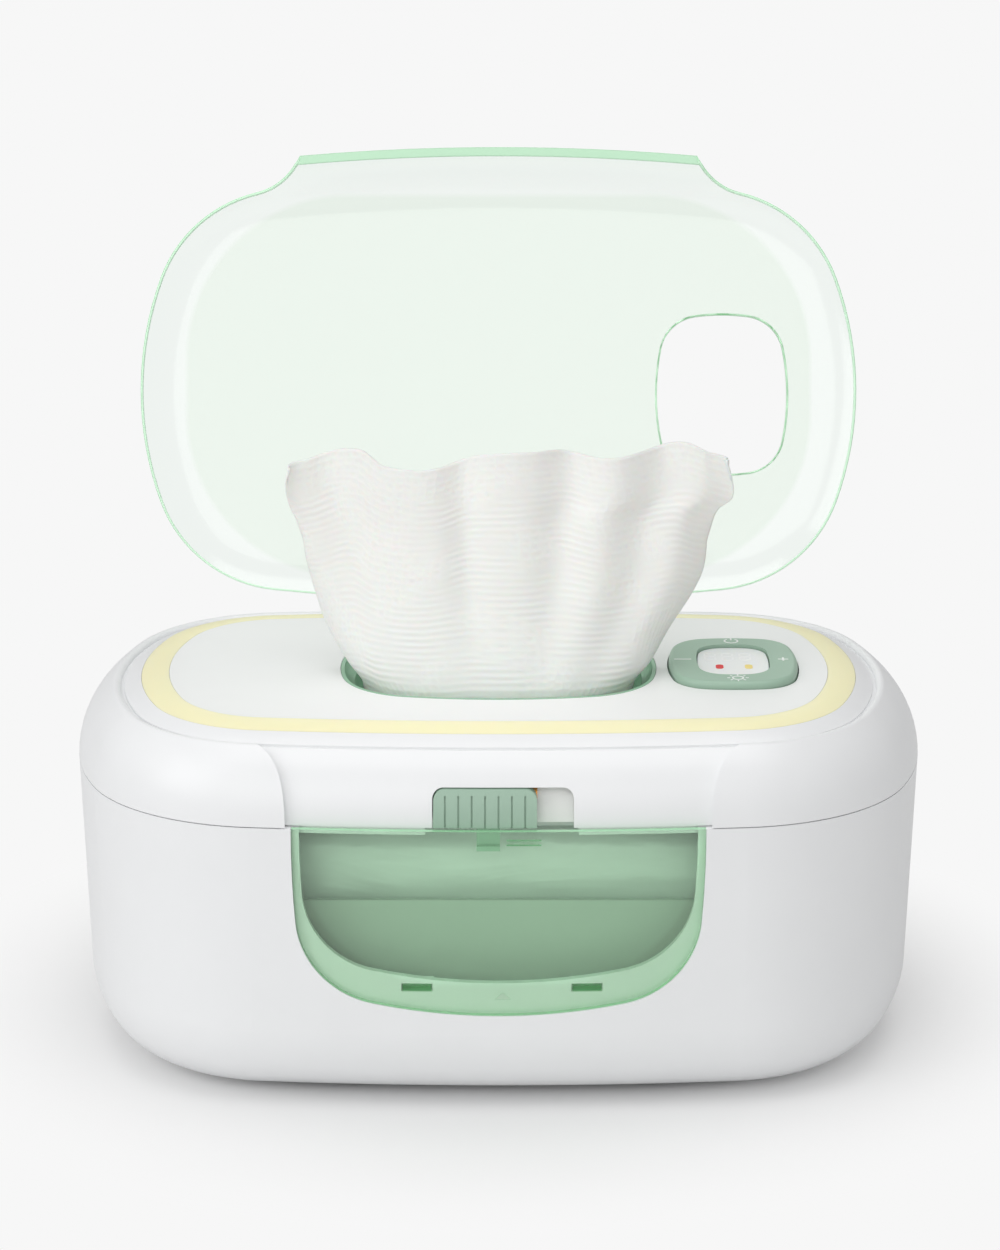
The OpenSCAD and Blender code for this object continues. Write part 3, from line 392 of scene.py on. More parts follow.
@dataclass(frozen=True)
class RolledMetal:
    """Rolled, plated or drawn metal: fine lines along one axis that stretch the highlight."""

    name: str
    colour: str
    roughness: float
    line_mm: float = 0.3
    along: Triple = (0.04, 1.0, 1.0)

    def material(self) -> Material:
        """Builds the metal with its rolling lines in gloss and bump.

        Returns:
            The material.
        """
        material, add, coords = blank_material(self.name)
        drawn = add("Mapping", {"Scale": self.along}, {"Vector": coords.outputs["Object"]})
        lines = add("TexNoise", {"Scale": 1 / (self.line_mm * MM), "Detail": 4.0}, {"Vector": drawn})
        gloss_range = ramp(*NOISE, self.roughness * 0.7, self.roughness * 1.3)
        gloss = add("MapRange", gloss_range, {"Value": lines})
        bump = add("Bump", {"Strength": 0.4, "Distance": 0.01 * MM}, {"Height": lines})
        settings = {"Base Color": srgb(self.colour), "Metallic": 1.0}
        shader = add("BsdfPrincipled", settings, {"Roughness": gloss, "Normal": bump})
        add("OutputMaterial", links={"Surface": shader})
        return material


@dataclass(frozen=True)
class Foam:
    """Closed-cell foam or sponge rubber: matt, with round cells whose small shadows are painted into the
    colour.
    """

    name: str
    colour: str
    cell_mm: float = 0.9
    depth_mm: float = 0.15
    roughness: float = 0.85

    def material(self) -> Material:
        """Builds the foam with its cells as bump, and as painted shade that darkens each cell's hollow
        middle.

        Returns:
            The material.
        """
        material, add, coords = blank_material(self.name)
        size = {"Scale": 1 / (self.cell_mm * MM)}
        cells = add("TexVoronoi", size, {"Vector": coords.outputs["Object"]})
        base = srgb(self.colour)
        # Painted shade: each cell darkens towards its hollow middle
        colour = add("Mix", from_to(scaled(base, 0.72), base), {"Factor": cells})
        bump = add("Bump", {"Strength": 0.8, "Distance": self.depth_mm * MM}, {"Height": cells})
        settings = {"Roughness": self.roughness, "IOR": 1.5}
        shader = add("BsdfPrincipled", settings, {"Base Color": colour, "Normal": bump})
        add("OutputMaterial", links={"Surface": shader})
        return material


@dataclass(frozen=True)
class CircuitBoard:
    """Glass epoxy board under solder mask: tracks show as lighter lines in a glossy green."""

    name: str
    mask: str
    track: str
    pitch_mm: float = 2.54

    def material(self) -> Material:
        """Builds the board with its tracks from a brick pattern at four times the part pitch.

        Returns:
            The material.
        """
        material, add, coords = blank_material(self.name)
        mask = srgb(self.mask)
        lines = {"Color1": mask, "Color2": mask, "Mortar": srgb(self.track), "Mortar Size": 0.02}
        lines["Scale"] = 1 / (self.pitch_mm * MM * 4)
        tracks = add("TexBrick", lines, {"Vector": coords.outputs["Object"]})
        raised = {"Height": tracks.outputs["Fac"]}
        bump = add("Bump", {"Strength": 0.5, "Distance": 0.03 * MM}, raised)
        settings = {"Roughness": 0.3, "IOR": 1.55, "Coat Weight": 0.4}
        shader = add("BsdfPrincipled", settings, {"Base Color": tracks, "Normal": bump})
        add("OutputMaterial", links={"Surface": shader})
        return material


@dataclass(frozen=True)
class SpunlaceCloth:
    """Wet spunlace viscose: soft white, with wavy pressed ribs and rows of beads near the cut edge."""

    name: str = "wet spunlace viscose"
    colour: str = "#F3F3F0"
    rib_mm: float = 2.1
    bead_mm: float = 2.3
    patch_mm: float = 22.0
    worn_mm: float = 15.0
    # The fibres are finer than this, which is as fine as shows
    fibre_mm: float = 0.6
    # Heights on the sheet between which ribs give way to beads
    beads_from: tuple[float, float] = (0.074, 0.092)

    def material(self) -> Material:
        """Builds the cloth on its UV map, whose units are metres along and across the sheet.

        Returns:
            The material.
        """
        material, add, coords = blank_material(self.name)
        at = {"Vector": coords.outputs["UV"]}
        wave = {"bands_direction": "Y", "Scale": math.pi / 10 / (self.rib_mm * MM)}
        wave |= {"Distortion": 2.6, "Detail": 2.0, "Detail Scale": 0.35}
        ribs = add("TexWave", wave, at)
        rows = {"feature": "SMOOTH_F1", "Smoothness": 0.4, "Randomness": 0.35}
        rows["Scale"] = 1 / (self.bead_mm * MM)
        beads = add("TexVoronoi", rows, at)
        split = add("SeparateXYZ", links=at)
        edge = add("MapRange", ramp(*self.beads_from) | SMOOTHSTEP, {"Value": split.outputs["Y"]})
        patches = add("TexNoise", {"Scale": 1 / (self.patch_mm * MM), "Detail": 1.0}, at)
        share = add("MapRange", ramp(0.46, 0.6) | SMOOTHSTEP, {"Value": patches})
        both = add("Math", {"operation": "MAXIMUM"}, {0: edge, 1: share})
        worn = add("TexNoise", {"Scale": 1 / (self.worn_mm * MM), "Detail": 2.0}, at)
        press = add("MapRange", ramp(0.4, 0.62, 0.25, 1.3), {"Value": worn})
        pressed = add("Math", {"operation": "MULTIPLY"}, {0: ribs.outputs["Fac"], 1: press})
        round_beads = add("Math", {"operation": "MULTIPLY", 1: 2.6}, {0: beads})
        heights = {"Factor": both, "A": pressed, "B": round_beads}
        relief = add("Mix", links=heights)
        fuzz = {"Scale": 1 / (self.fibre_mm * MM), "Detail": 4.0, "Roughness": 0.7}
        fibres = add("TexNoise", fuzz, at)
        fine = add("Bump", {"Strength": 0.5, "Distance": 0.08 * MM}, {"Height": fibres})
        layers = {"Height": relief, "Normal": fine}
        bump = add("Bump", {"Strength": 0.9, "Distance": 0.13 * MM}, layers)
        base = srgb(self.colour)
        # Painted shade: the low parts of the ribs and beads are 3% darker
        colour = add("Mix", from_to(scaled(base, 0.97), base), {"Factor": relief})
        settings = {"Roughness": 0.86, "IOR": 1.45, "Sheen Weight": 0.25, "Sheen Roughness": 0.5}
        settings |= {"Subsurface Weight": 0.2, "Subsurface Scale": 1.5 * MM}
        shader = add("BsdfPrincipled", settings, {"Base Color": colour, "Normal": bump})
        add("OutputMaterial", links={"Surface": shader})
        return material


@dataclass(frozen=True)
class PackFilm:
    """Heat-sealed polyethylene film, plain and pale: glossy, with soft creases 10 to 25 mm apart."""

    name: str = "sealed polyethylene film"
    colour: str = "#F1F6F2"
    crease_mm: float = 16.0
    wrinkle_mm: float = 3.0
    along: Triple = (0.35, 1.0, 1.0)

    def material(self) -> Material:
        """Builds the film with its creases and small wrinkles, and painted shade that darkens the creases.

        Returns:
            The material.
        """
        material, add, coords = blank_material(self.name)
        at = {"Vector": coords.outputs["Object"]}
        long = add("Mapping", {"Scale": self.along}, at)
        folds = {"Scale": 1 / (self.crease_mm * MM), "Detail": 3.0, "Distortion": 0.6}
        creases = add("TexNoise", folds, {"Vector": long})
        small = add("TexNoise", {"Scale": 1 / (self.wrinkle_mm * MM), "Detail": 2.0}, at)
        fine = add("Bump", {"Strength": 0.3, "Distance": 0.08 * MM}, {"Height": small})
        layers = {"Height": creases, "Normal": fine}
        bump = add("Bump", {"Strength": 1.0, "Distance": 1.8 * MM}, layers)
        base = srgb(self.colour)
        # Painted shade: the film is up to 7% darker in its creases
        colour = add("Mix", from_to(scaled(base, 0.93), base), {"Factor": creases})
        settings = {"Roughness": 0.28, "IOR": 1.51, "Coat Weight": 0.25}
        shader = add("BsdfPrincipled", settings, {"Base Color": colour, "Normal": bump})
        add("OutputMaterial", links={"Surface": shader})
        return material


Finish = Plastic | ClearPlastic | RolledMetal | Foam | CircuitBoard | SpunlaceCloth | PackFilm


class Finishes:
    """Every finish of the object. Plastic stays rougher than 0.3: smoother, the shell looks blotched."""

    shell = Plastic("satin white ABS shell", "#F1F2F3", 0.33)
    plate = Plastic("satin pearl white ABS plate", "#F6F7F6", 0.38)
    inner = Plastic("white polypropylene inside", "#EDEFEE", 0.45)
    rail = Plastic("white acetal rail", "#F8F8F6", 0.35)
    # The diffuser and the phosphor chips carry a painted glow
    diffuser = Plastic("pale yellow diffuser acrylic", "#F8F2C6", 0.35, glow=0.06, depth_mm=2.0)
    sage = Plastic("sage ABS trim", "#9FBCA8", 0.36)
    rim = Plastic("mint ABS rim", "#92C0A0", 0.33)
    tank = Plastic("pale sage polypropylene tank", "#B9C2B9", 0.5)
    lens = Plastic("frosted white polycarbonate lens", "#F4F6F5", 0.33, depth_mm=1.0)
    black = Plastic("black nylon", "#1D1F20", 0.45)
    dark = Plastic("dark display polycarbonate", "#3C4143", 0.33)
    amber = Plastic("amber polyimide film", "#C98A2B", 0.33)
    pvc_black = Plastic("black PVC sleeve", "#202224", 0.5, grain_mm=0.8)
    pvc_red = Plastic("red PVC sleeve", "#A63A32", 0.5, grain_mm=0.8)
    phosphor = Plastic("yellow phosphor chip", "#F4E9A0", 0.4, glow=0.3)
    epoxy = Plastic("black epoxy bead", "#26282A", 0.35)
    rubber = Foam("grey moulded rubber", "#8B8F90", 0.5, 0.04, 0.8)
    silicone = Plastic("translucent silicone seal", "#D9DCDB", 0.5, depth_mm=1.5)
    foam = Foam("grey polyethylene foam", "#9EA2A3", 1.1, 0.2)
    board = CircuitBoard("green solder mask board", "#1E6B45", "#3B8F63")
    pin = RolledMetal("drawn steel pin", "#C4C6C8", 0.25)
    screw = RolledMetal("zinc plated steel", "#C9CBCE", 0.3)
    plate_metal = RolledMetal("rolled aluminium plate", "#D5D7D9", 0.35)
    spring = RolledMetal("phosphor bronze strip", "#B98245", 0.3)
    pane = ClearPlastic(
        "mint SAN pane", (0.42, 0.85, 0.50), 190.0, "#FBFEFC", "#A9DFB4", (0.0, 1.0, 0.0), outer="#F8F6F6",
        frame_box=WINDOW_FRAME,
    )
    # The lid stands open at rest, so its flat middle faces back and down
    lid = ClearPlastic(
        "pale mint SAN lid", (0.42, 0.80, 0.53), 55.0, "#FCFEFC", "#C6F0CE", LID_FACES, 0.0121, gloss=0.12,
        coat=0.4, middle="#F6FAF5", frame_box=LID_FRAME, border_mm=13.5,
    )
    # Painted light: the rim lines glow in mint for the light that the lid pipes to its edges
    lid_line = Plastic("mint light in a sheet's rim", "#CDEFD3", 0.33, glow=0.18)
    icon = Plastic("white pad print", "#F2F5F2", 0.5)
    red_mark = Plastic("red pad print", "#E23A3C", 0.5)
    yellow_mark = Plastic("yellow pad print", "#F6E08A", 0.5)
    digit = Plastic("pale digit segments", "#FBFCFB", 0.4)
    cloth = SpunlaceCloth()
    film = PackFilm()

    # Finish of every solid that keeps its own shape
    BY_NODE = {
        "base_shell": shell, "window_pane": pane, "inner_tank": tank, "bottom_cover": inner,
        "cover_screws": screw, "rubber_feet": rubber, "deck_hinge_pins": pin, "deck_shell": shell,
        "light_ring": diffuser, "top_plate": plate, "dispensing_rim": rim, "led_board": board,
        "led_chips": phosphor, "control_board": board, "key_switches": black, "board_screws": screw,
        "digit_display": dark, "display_lens": lens, "latch_rail": rail, "detent_spring": spring,
        "heat_plate": plate_metal, "heater_film": amber, "thermal_fuse": screw, "thermistor": epoxy,
        "foam_pad": foam, "deck_liner": inner, "seal_gasket": silicone, "liner_screws": screw,
        "dc_jack": black, "power_lead": pvc_black, "heater_lead": pvc_red, "lid_hinge_pins": pin,
        "key_ring": sage, "latch_slider": sage, "lid": lid,
    }


@dataclass
class Solids:
    """The solids that keep their shape, dressed in their finishes."""

    nodes: dict[str, Object]
    made: dict[str, Material] = field(default_factory=dict)

    def material(self, finish: Finish) -> Material:
        """Returns the material of a finish, made once.

        Args:
            finish: One of the finishes.

        Returns:
            Its material.
        """
        if finish.name not in self.made:
            self.made[finish.name] = finish.material()
        return self.made[finish.name]

    def dress(self) -> None:
        """Gives every kept solid its material."""
        for name, finish in Finishes.BY_NODE.items():
            slots = self.nodes[name].data.materials
            slots.clear()
            slots.append(self.material(finish))
            log.info("%s wears %s", name, finish.name)


@dataclass
class DrawnWipe:
    """The wipe in the opening: it lies along the throat's front, opens as it rises and rolls at its top."""

    finish: Material
    columns: int = 190
    rows: int = 96
    thick_mm: float = 0.55
    # Half width and height of the sheet in its UV map, and width of a flat wipe, in metres
    map_size: tuple[float, float] = (0.0625, 0.092)
    flat_width: float = 0.15
    # Wall and rounding of the throat, to either side of its clear inside
    wall_mm: float = 5.2
    # How far under the deck's face the wipe lies when the lid is shut, and how thick, as a share
    folded_mm: float = 6.5
    folded_share: float = 0.02
    # Height over the deck at which the sheet is fully open, and how fast it opens
    open_mm: float = 66.0
    opening: float = 1.25
    # Roundness of the sheet's bow around the throat, and where its top stands: middle, and more at its ends
    bow: float = 0.72
    top_y_mm: tuple[float, float] = (-7.5, 5.0)
    # Rolled corners: share of the half width, first height, height over which they grow, turn and radius
    curl_share: float = 0.11
    curl_from_mm: float = 38.0
    curl_rise_mm: float = 24.0
    curl_degrees: float = 200.0
    curl_radius_mm: float = 2.0
    # Outline in millimetres above the deck, from the photograph: half widths left and right
    left: Curve = (
        (-14, 38.4), (-2, 38.8), (4, 43.4), (13, 48.7), (22, 51.6), (33, 54.4), (44, 55.9), (48, 57.6),
        (55, 60), (66, 60.4),
    )
    right: Curve = (
        (-14, 38.4), (-2, 38.8), (4, 43.8), (13, 49), (22, 54.6), (30, 58), (44, 59.4), (48, 61), (51, 65),
        (56, 66.4), (66, 66),
    )
    # Height of the top edge over the deck, by place across
    top: Curve = (
        (-1, 60), (-0.9, 61.5), (-0.65, 65.4), (-0.52, 61.4), (-0.26, 61.2), (-0.05, 65), (0.22, 65.6),
        (0.4, 63.8), (0.62, 65), (0.8, 67.2), (0.92, 64), (1, 62.5),
    )
    # Folds as place across, width, and depth in millimetres, back is positive
    folds: tuple[Triple, ...] = (
        (-0.8, 0.13, 4.6), (-0.36, 0.18, -2.6), (-0.17, 0.09, 3.4), (0.08, 0.15, -2.2), (0.30, 0.1, 3.8),
        (0.5, 0.1, -2.6), (0.7, 0.09, 3.6), (0.9, 0.08, -2.2),
    )

    def point(self, u: float, v: float, deck: float, foot: float, mid: Vector, throat: Vector) -> Vector:
        """Returns where a point of the sheet stands.

        Args:
            u: Place across, -1 to 1 from left to right.
            v: Place up, 0 to 1 from the foot to the top edge.
            deck: Height of the deck.
            foot: Height of the sheet's foot.
            mid: Middle of the opening.
            throat: Half width and half depth of the throat's clear inside.

        Returns:
            The point in the row frame.
        """
        low = (foot - deck) / MM
        height = low + v * (between(self.top, u) - low)
        lift = max(0.0, min(1.0, height / self.open_mm))
        opened = 1 - (1 - lift) ** self.opening
        half = between(self.right if u > 0 else self.left, height)
        bow = math.copysign(abs(math.sin(math.pi / 2 * u)) ** self.bow, u)
        fan = bow * (1 - opened) + u * opened
        x = fan * half
        y_low = -throat.y / MM * max(0.0, math.cos(math.pi / 2 * u)) ** self.bow
        y_top = self.top_y_mm[0] + self.top_y_mm[1] * u * u
        y = y_low * (1 - opened) + y_top * opened
        swing = 0.12 + 0.88 * lift**0.8
        for place, width, depth in self.folds:
            lean = place * (0.9 + 0.1 * lift)
            y += depth * swing * math.exp(-(((fan - lean) / width) ** 2)) * min(1.0, 0.25 + lift * 1.6)
        y += 0.5 * lift * noise.noise(Vector((fan * 5, height * 0.02, 3.1)))
        side = max(0.0, (abs(u) - (1 - self.curl_share)) / self.curl_share)
        curl = side * max(0.0, min(1.0, (height - self.curl_from_mm) / self.curl_rise_mm))
        if curl > 0:
            turn = curl * math.radians(self.curl_degrees)
            x -= math.copysign(side * self.curl_share * half * 0.3, u) * curl
            x += math.copysign(self.curl_radius_mm * math.sin(turn), u)
            y -= self.curl_radius_mm * (1 - math.cos(turn)) - 1.2 * curl
        return Vector((mid.x + x * MM, mid.y + y * MM, deck + height * MM))

    def build(self) -> None:
        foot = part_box("wipe_sheet")[0].z
        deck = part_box("top_plate")[1].z
        rim_low, rim_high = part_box("dispensing_rim")
        wall = self.wall_mm * MM
        throat = Vector(((rim_high.x - rim_low.x) / 2 - wall, (rim_high.y - rim_low.y) / 2 - wall, 0))
        shape = bmesh.new()
        uv_layer = shape.loops.layers.uv.new("sheet")
        bmesh.ops.create_grid(shape, x_segments=self.columns, y_segments=self.rows, size=1.0)
        for face in shape.faces:
            for loop in face.loops:
                u, v = loop.vert.co.x, (loop.vert.co.y + 1) / 2
                loop[uv_layer].uv = (u * self.map_size[0], v * self.map_size[1])
        for vertex in shape.verts:
            u, v = vertex.co.x, (vertex.co.y + 1) / 2
            vertex.co = self.point(u, v, deck, foot, (rim_low + rim_high) / 2, throat)
        area = sum(face.calc_area() for face in shape.faces)
        wipe = new_piece("wipe", shape, self.finish, Body.DECK, smooth=True)
        skin = wipe.modifiers.new("thickness", "SOLIDIFY")
        skin.thickness = self.thick_mm * MM
        skin.offset = 0.0
        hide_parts("wipe_sheet")
        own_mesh(wipe)


@dataclass
class WipePack:
    """The sealed pack of wipes in the tank: a block of folded wipes in slack film, with crimped ends."""

    finish: Material
    label: Material
    cuts: int = 46
    # How square the block is, how far the film pulls in and how much its top sinks towards its edges
    power: int = 6
    pulled: float = 0.012
    sunk: float = 0.10
    # Each end's seal: length, height under the middle, thickness, and depth of its crimp and of its wave
    seal_mm: float = 7.0
    seal_drop_mm: float = 6.0
    seal_thick_mm: float = 0.25
    crimp_mm: float = 0.35
    wave_mm: float = 2.2
    # Half length, half width and roundness of the label, its lift off the film and its thickness
    label_mm: Triple = (46.0, 27.0, 3.5)
    label_lift_mm: float = 0.12
    label_thick_mm: float = 0.2
    label_rings: int = 12
    label_steps: int = 72

    def build(self) -> None:
        """Builds the pack as one film pillow with its two end seals."""
        low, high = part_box("wipe_pack")
        mid, half = (low + high) / 2, (high - low) / 2
        half.x -= self.seal_mm * MM
        shape = bmesh.new()
        bmesh.ops.create_cube(shape, size=2.0)
        bmesh.ops.subdivide_edges(shape, edges=shape.edges[:], cuts=self.cuts, use_grid_fill=True)
        for vertex in shape.verts:
            # Block with round edges: a high power keeps its sides flat, as the stack of wipes does
            q = vertex.co * sum(abs(c) ** self.power for c in vertex.co) ** (-1 / self.power)
            crown = 1 - self.sunk * max(0.0, q.z) * (q.x * q.x * 0.6 + q.y * q.y * 0.4)
            ripple = noise.noise(Vector((q.x * 2.2, q.y * 3.0, q.z * 4.5)))
            ripple += 0.5 * noise.noise(Vector((q.x * 5, q.y * 7, q.z * 11)))
            inward = 1 - (self.pulled + self.pulled * ripple)
            lower = crown * (1 - self.pulled / 2 * (1 + ripple))
            x, y = mid.x + q.x * half.x * inward, mid.y + q.y * half.y * inward
            vertex.co = Vector((x, y, mid.z + q.z * half.z * lower))
        for sign in (-1, 1):
            seal = bmesh.ops.create_grid(shape, x_segments=24, y_segments=60, size=1.0)["verts"]
            for vertex in seal:
                along, across = (vertex.co.x + 1) / 2, vertex.co.y
                x = mid.x + sign * (half.x * 0.965 + along * self.seal_mm * 1.5 * MM)
                y = mid.y + across * half.y * (0.93 - 0.06 * (1 - along))
                crimp = self.crimp_mm * math.sin(along * 60) * min(1.0, along * 3)
                z = mid.z + (crimp + self.wave_mm * math.sin(across * 5) * along - self.seal_drop_mm) * MM
                vertex.co = Vector((min(max(x, low.x), high.x), y, z))
            faces = list({f for v in seal for f in v.link_faces})
            bmesh.ops.solidify(shape, geom=faces, thickness=self.seal_thick_mm * MM)
        self.add_label(BVHTree.FromBMesh(shape), mid)
        pack = new_piece("pack", shape, self.finish, Body.BASE, smooth=True)
        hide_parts("wipe_pack")

    def add_label(self, skin: BVHTree, mid: Vector) -> None:
        """Sticks the plain resealable label over the pack's opening.

        Args:
            skin: Surface of the film.
            mid: Middle of the pack.
        """
        half_x, half_y, power = self.label_mm
        shape = bmesh.new()
        rings = []
        for share in [k / self.label_rings for k in range(self.label_rings + 1)]:
            ring = []
            for step in range(self.label_steps):
                turn = math.tau * step / self.label_steps
                reach = (abs(math.cos(turn)) ** power + abs(math.sin(turn)) ** power) ** (-1 / power)
                reach *= 0.02 + 0.98 * share
                x = mid.x + math.cos(turn) * reach * half_x * MM
                y = mid.y + math.sin(turn) * reach * half_y * MM
                hit = skin.ray_cast(Vector((x, y, 1.0)), Vector((0, 0, -1)))[0]
                ring.append(shape.verts.new(hit + Vector((0, 0, self.label_lift_mm * MM))))
            rings.append(ring)
        shape.faces.new(rings[0])
        for inner, outer in zip(rings, rings[1:]):
            for k in range(self.label_steps):
                after = (k + 1) % self.label_steps
                shape.faces.new((inner[k], outer[k], outer[after], inner[after]))
        label = new_piece("pack_label", shape, self.label, Body.BASE, smooth=True)
        depth = label.modifiers.new("thickness", "SOLIDIFY")
        depth.thickness = self.label_thick_mm * MM
        depth.offset = 1.0


@dataclass
class LidLines:
    """Thin mint lines along the lid's outline and key hole, with a painted glow for the light that the sheet
    pipes out at its rims.
    """

    lid: Object
    finish: Material
    depth_mm: float = 0.12
    width_mm: float = 0.5
    shortest_mm: float = 26.0
    # Faces that look along the sheet's own direction by more than this are its broad ones
    broad: float = 0.36

    def build(self) -> None:
        """Builds the lines as a band just inside the rims of the sheet."""
        shape = bmesh.new()
        shape.from_mesh(self.lid.data)
        bmesh.ops.remove_doubles(shape, verts=shape.verts[:], dist=0.002 * MM)
        facing = Vector(LID_FACES)
        broad = [f for f in shape.faces if abs(f.normal.dot(facing)) > self.broad]
        bmesh.ops.delete(shape, geom=broad, context="FACES")
        short = [v for rim in self.rims(shape) if self.span(rim) < self.shortest_mm * MM for v in rim]
        bmesh.ops.delete(shape, geom=short, context="VERTS")
        shape.normal_update()
        for vertex in shape.verts:
            vertex.co -= vertex.normal * self.depth_mm * MM
        bmesh.ops.solidify(shape, geom=shape.faces[:], thickness=self.width_mm * MM)
        new_piece("lid_lines", shape, self.finish, Body.LID)

    @staticmethod
    def rims(shape: BMesh) -> list[Verts]:
        """Splits a mesh into its connected parts.

        Args:
            shape: The mesh.

        Returns:
            The vertices of each part.
        """
        left = set(shape.verts)
        found = []
        while left:
            front = [left.pop()]
            part = []
            while front:
                vertex = front.pop()
                part.append(vertex)
                near = {e.other_vert(vertex) for e in vertex.link_edges} & left
                left -= near
                front.extend(near)
            found.append(part)
        return found

    @staticmethod
    def span(part: Verts) -> float:
        """Returns the largest side of the box around some vertices."""
        return max(max(v.co[k] for v in part) - min(v.co[k] for v in part) for k in range(3))


@dataclass
class Prints:
    """Prints and raised marks: key symbols, the display's digits and lamps, the pane's arrow and barbs."""

    icon: Material
    red: Material
    yellow: Material
    digit: Material
    pane: Material
    barb: Material
    pane_solid: Object
    film_mm: float = 0.08
    # Places on the key ring from its middle
    minus_mm: Triple = (-14.4, 0, 0)
    plus_mm: Triple = (14.3, 0, 0)
    power_mm: Triple = (0.2, 17.6, 0)
    lamp_mm: tuple[float, float] = (0.6, -17.7)
    rays: int = 8
    ray_at_mm: float = 2.6
    # Display: middles of the digits, height of their row, one digit's bars as place and turn, and the marks
    digits_x: Triple = (-6.4, -1.4, 3.6)
    digits_y: float = 5.4
    segments: tuple[Triple, ...] = (
        (0, 3.2, 0), (0, 0, 0), (0, -3.2, 0), (-1.5, 1.6, 90), (1.5, 1.6, 90), (-1.5, -1.6, 90),
        (1.5, -1.6, 90),
    )
    marks_x: tuple[float, float] = (-4.0, 4.3)
    marks_y: float = -4.0
    # Pane: middle and corners of the arrow across and up, and place and size of the barbs on the tabs
    arrow_mm: tuple[float, float] = (1.2, 35.3)
    arrow_corners: Curve = ((-2.25, -1.05), (2.25, -1.05), (0.0, 1.05))
    tabs_mm: tuple[float, float] = (-22.5, 24.4)
    tab_z_mm: float = 36.9
    barb_mm: Triple = (9.4, 1.0, 3.4)

    def bar(self, shape: BMesh, mid: Vector, length: float, width: float, turn: float = 0.0) -> None:
        """Adds a bar with round corners, flat on the surface.

        Args:
            shape: Takes the bar.
            mid: Middle of its underside, in metres.
            length: Length in millimetres.
            width: Width in millimetres.
            turn: Turn about Z in degrees.
        """
        made = bmesh.ops.create_cube(shape, size=1.0)["verts"]
        bmesh.ops.scale(shape, vec=(length * MM, width * MM, self.film_mm * MM), verts=made)
        edges = {e for v in made for e in v.link_edges}
        upright = [e for e in edges if abs(e.verts[0].co.z - e.verts[1].co.z) > 1e-6]
        faces = bmesh.ops.bevel(shape, geom=upright, offset=width * 0.42 * MM, segments=3, **BEVEL)["faces"]
        made = list({v for f in faces for v in f.verts} | {v for v in made if v.is_valid})
        spun = Matrix.Rotation(math.radians(turn), 3, "Z")
        bmesh.ops.rotate(shape, cent=(0, 0, 0), matrix=spun, verts=made)
        bmesh.ops.translate(shape, vec=mid + Vector((0, 0, self.film_mm / 2 * MM)), verts=made)

    def ring(
        self, shape: BMesh, mid: Vector, radius: float, width: float, start: float = 0.0,
        sweep: float = 360.0,
    ) -> None:
        """Adds a flat ring or part of one by spinning its section.

        Args:
            shape: Takes the ring.
            mid: Middle of its underside, in metres.
            radius: Radius of the line in millimetres.
            width: Width of the line in millimetres.
            start: First angle in degrees.
            sweep: Angle that it covers in degrees.
        """
        lo, hi, top = (radius - width / 2) * MM, (radius + width / 2) * MM, self.film_mm * MM
        corners = [shape.verts.new(p) for p in ((lo, 0, 0), (hi, 0, 0), (hi, 0, top), (lo, 0, top))]
        face = shape.faces.new(corners)
        turn = Matrix.Rotation(math.radians(start), 3, "Z")
        bmesh.ops.rotate(shape, cent=(0, 0, 0), matrix=turn, verts=corners)
        bmesh.ops.translate(shape, vec=mid, verts=corners)
        full = sweep >= 360
        bmesh.ops.spin(
            shape, geom=[face, *face.edges, *corners], cent=mid, axis=(0, 0, 1), angle=math.radians(sweep),
            steps=28 if full else 20, use_merge=full, use_duplicate=False,
        )
        if full:
            shape.faces.remove(face)

    def keys(self) -> None:
        """Prints the four key symbols: minus, plus, power and lamp."""
        mid = top_middle("key_ring")
        plus = mid + Vector(self.plus_mm) * MM
        power = mid + Vector(self.power_mm) * MM
        shape = bmesh.new()
        self.bar(shape, mid + Vector(self.minus_mm) * MM, 5.0, 0.55)
        self.bar(shape, plus, 3.0, 0.6)
        self.bar(shape, plus + Vector((0, 0, 0.02)) * MM, 3.0, 0.6, 90)
        self.ring(shape, power, 1.9, 0.5, 125, 290)
        self.bar(shape, power + Vector((0, 1.7, 0)) * MM, 2.0, 0.5, 90)
        x, y = self.lamp_mm
        self.ring(shape, mid + Vector((x, y, 0)) * MM, 1.5, 0.5)
        for k in range(self.rays):
            degrees = 360 / self.rays * k
            turn = math.radians(degrees)
            out = Vector((x + self.ray_at_mm * math.cos(turn), y + self.ray_at_mm * math.sin(turn), 0))
            self.bar(shape, mid + out * MM, 0.9, 0.45, degrees)
        new_piece("key_symbols", shape, self.icon, Body.KEYS)

    def display(self) -> None:
        """Prints the display: three pale digits and two lamp marks."""
        mid = top_middle("display_lens")
        shape = bmesh.new()
        for x in self.digits_x:
            for across, up, turn in self.segments:
                self.bar(shape, mid + Vector((x + across, up + self.digits_y, 0)) * MM, 2.4, 0.55, turn)
        new_piece("display_digits", shape, self.digit, Body.DECK)
        for name, finish, x in zip(("red", "yellow"), (self.red, self.yellow), self.marks_x):
            shape = bmesh.new()
            self.bar(shape, mid + Vector((x, self.marks_y, 0)) * MM, 3.8, 2.2, 90)
            new_piece("display_mark_" + name, shape, finish, Body.DECK)

    def pane_skin(self) -> BVHTree:
        """Reads the surface of the pane's solid.

        Returns:
            Its tree, to cast rays at.
        """
        pane = bmesh.new()
        pane.from_mesh(self.pane_solid.data)
        tree = BVHTree.FromBMesh(pane)
        pane.free()
        return tree

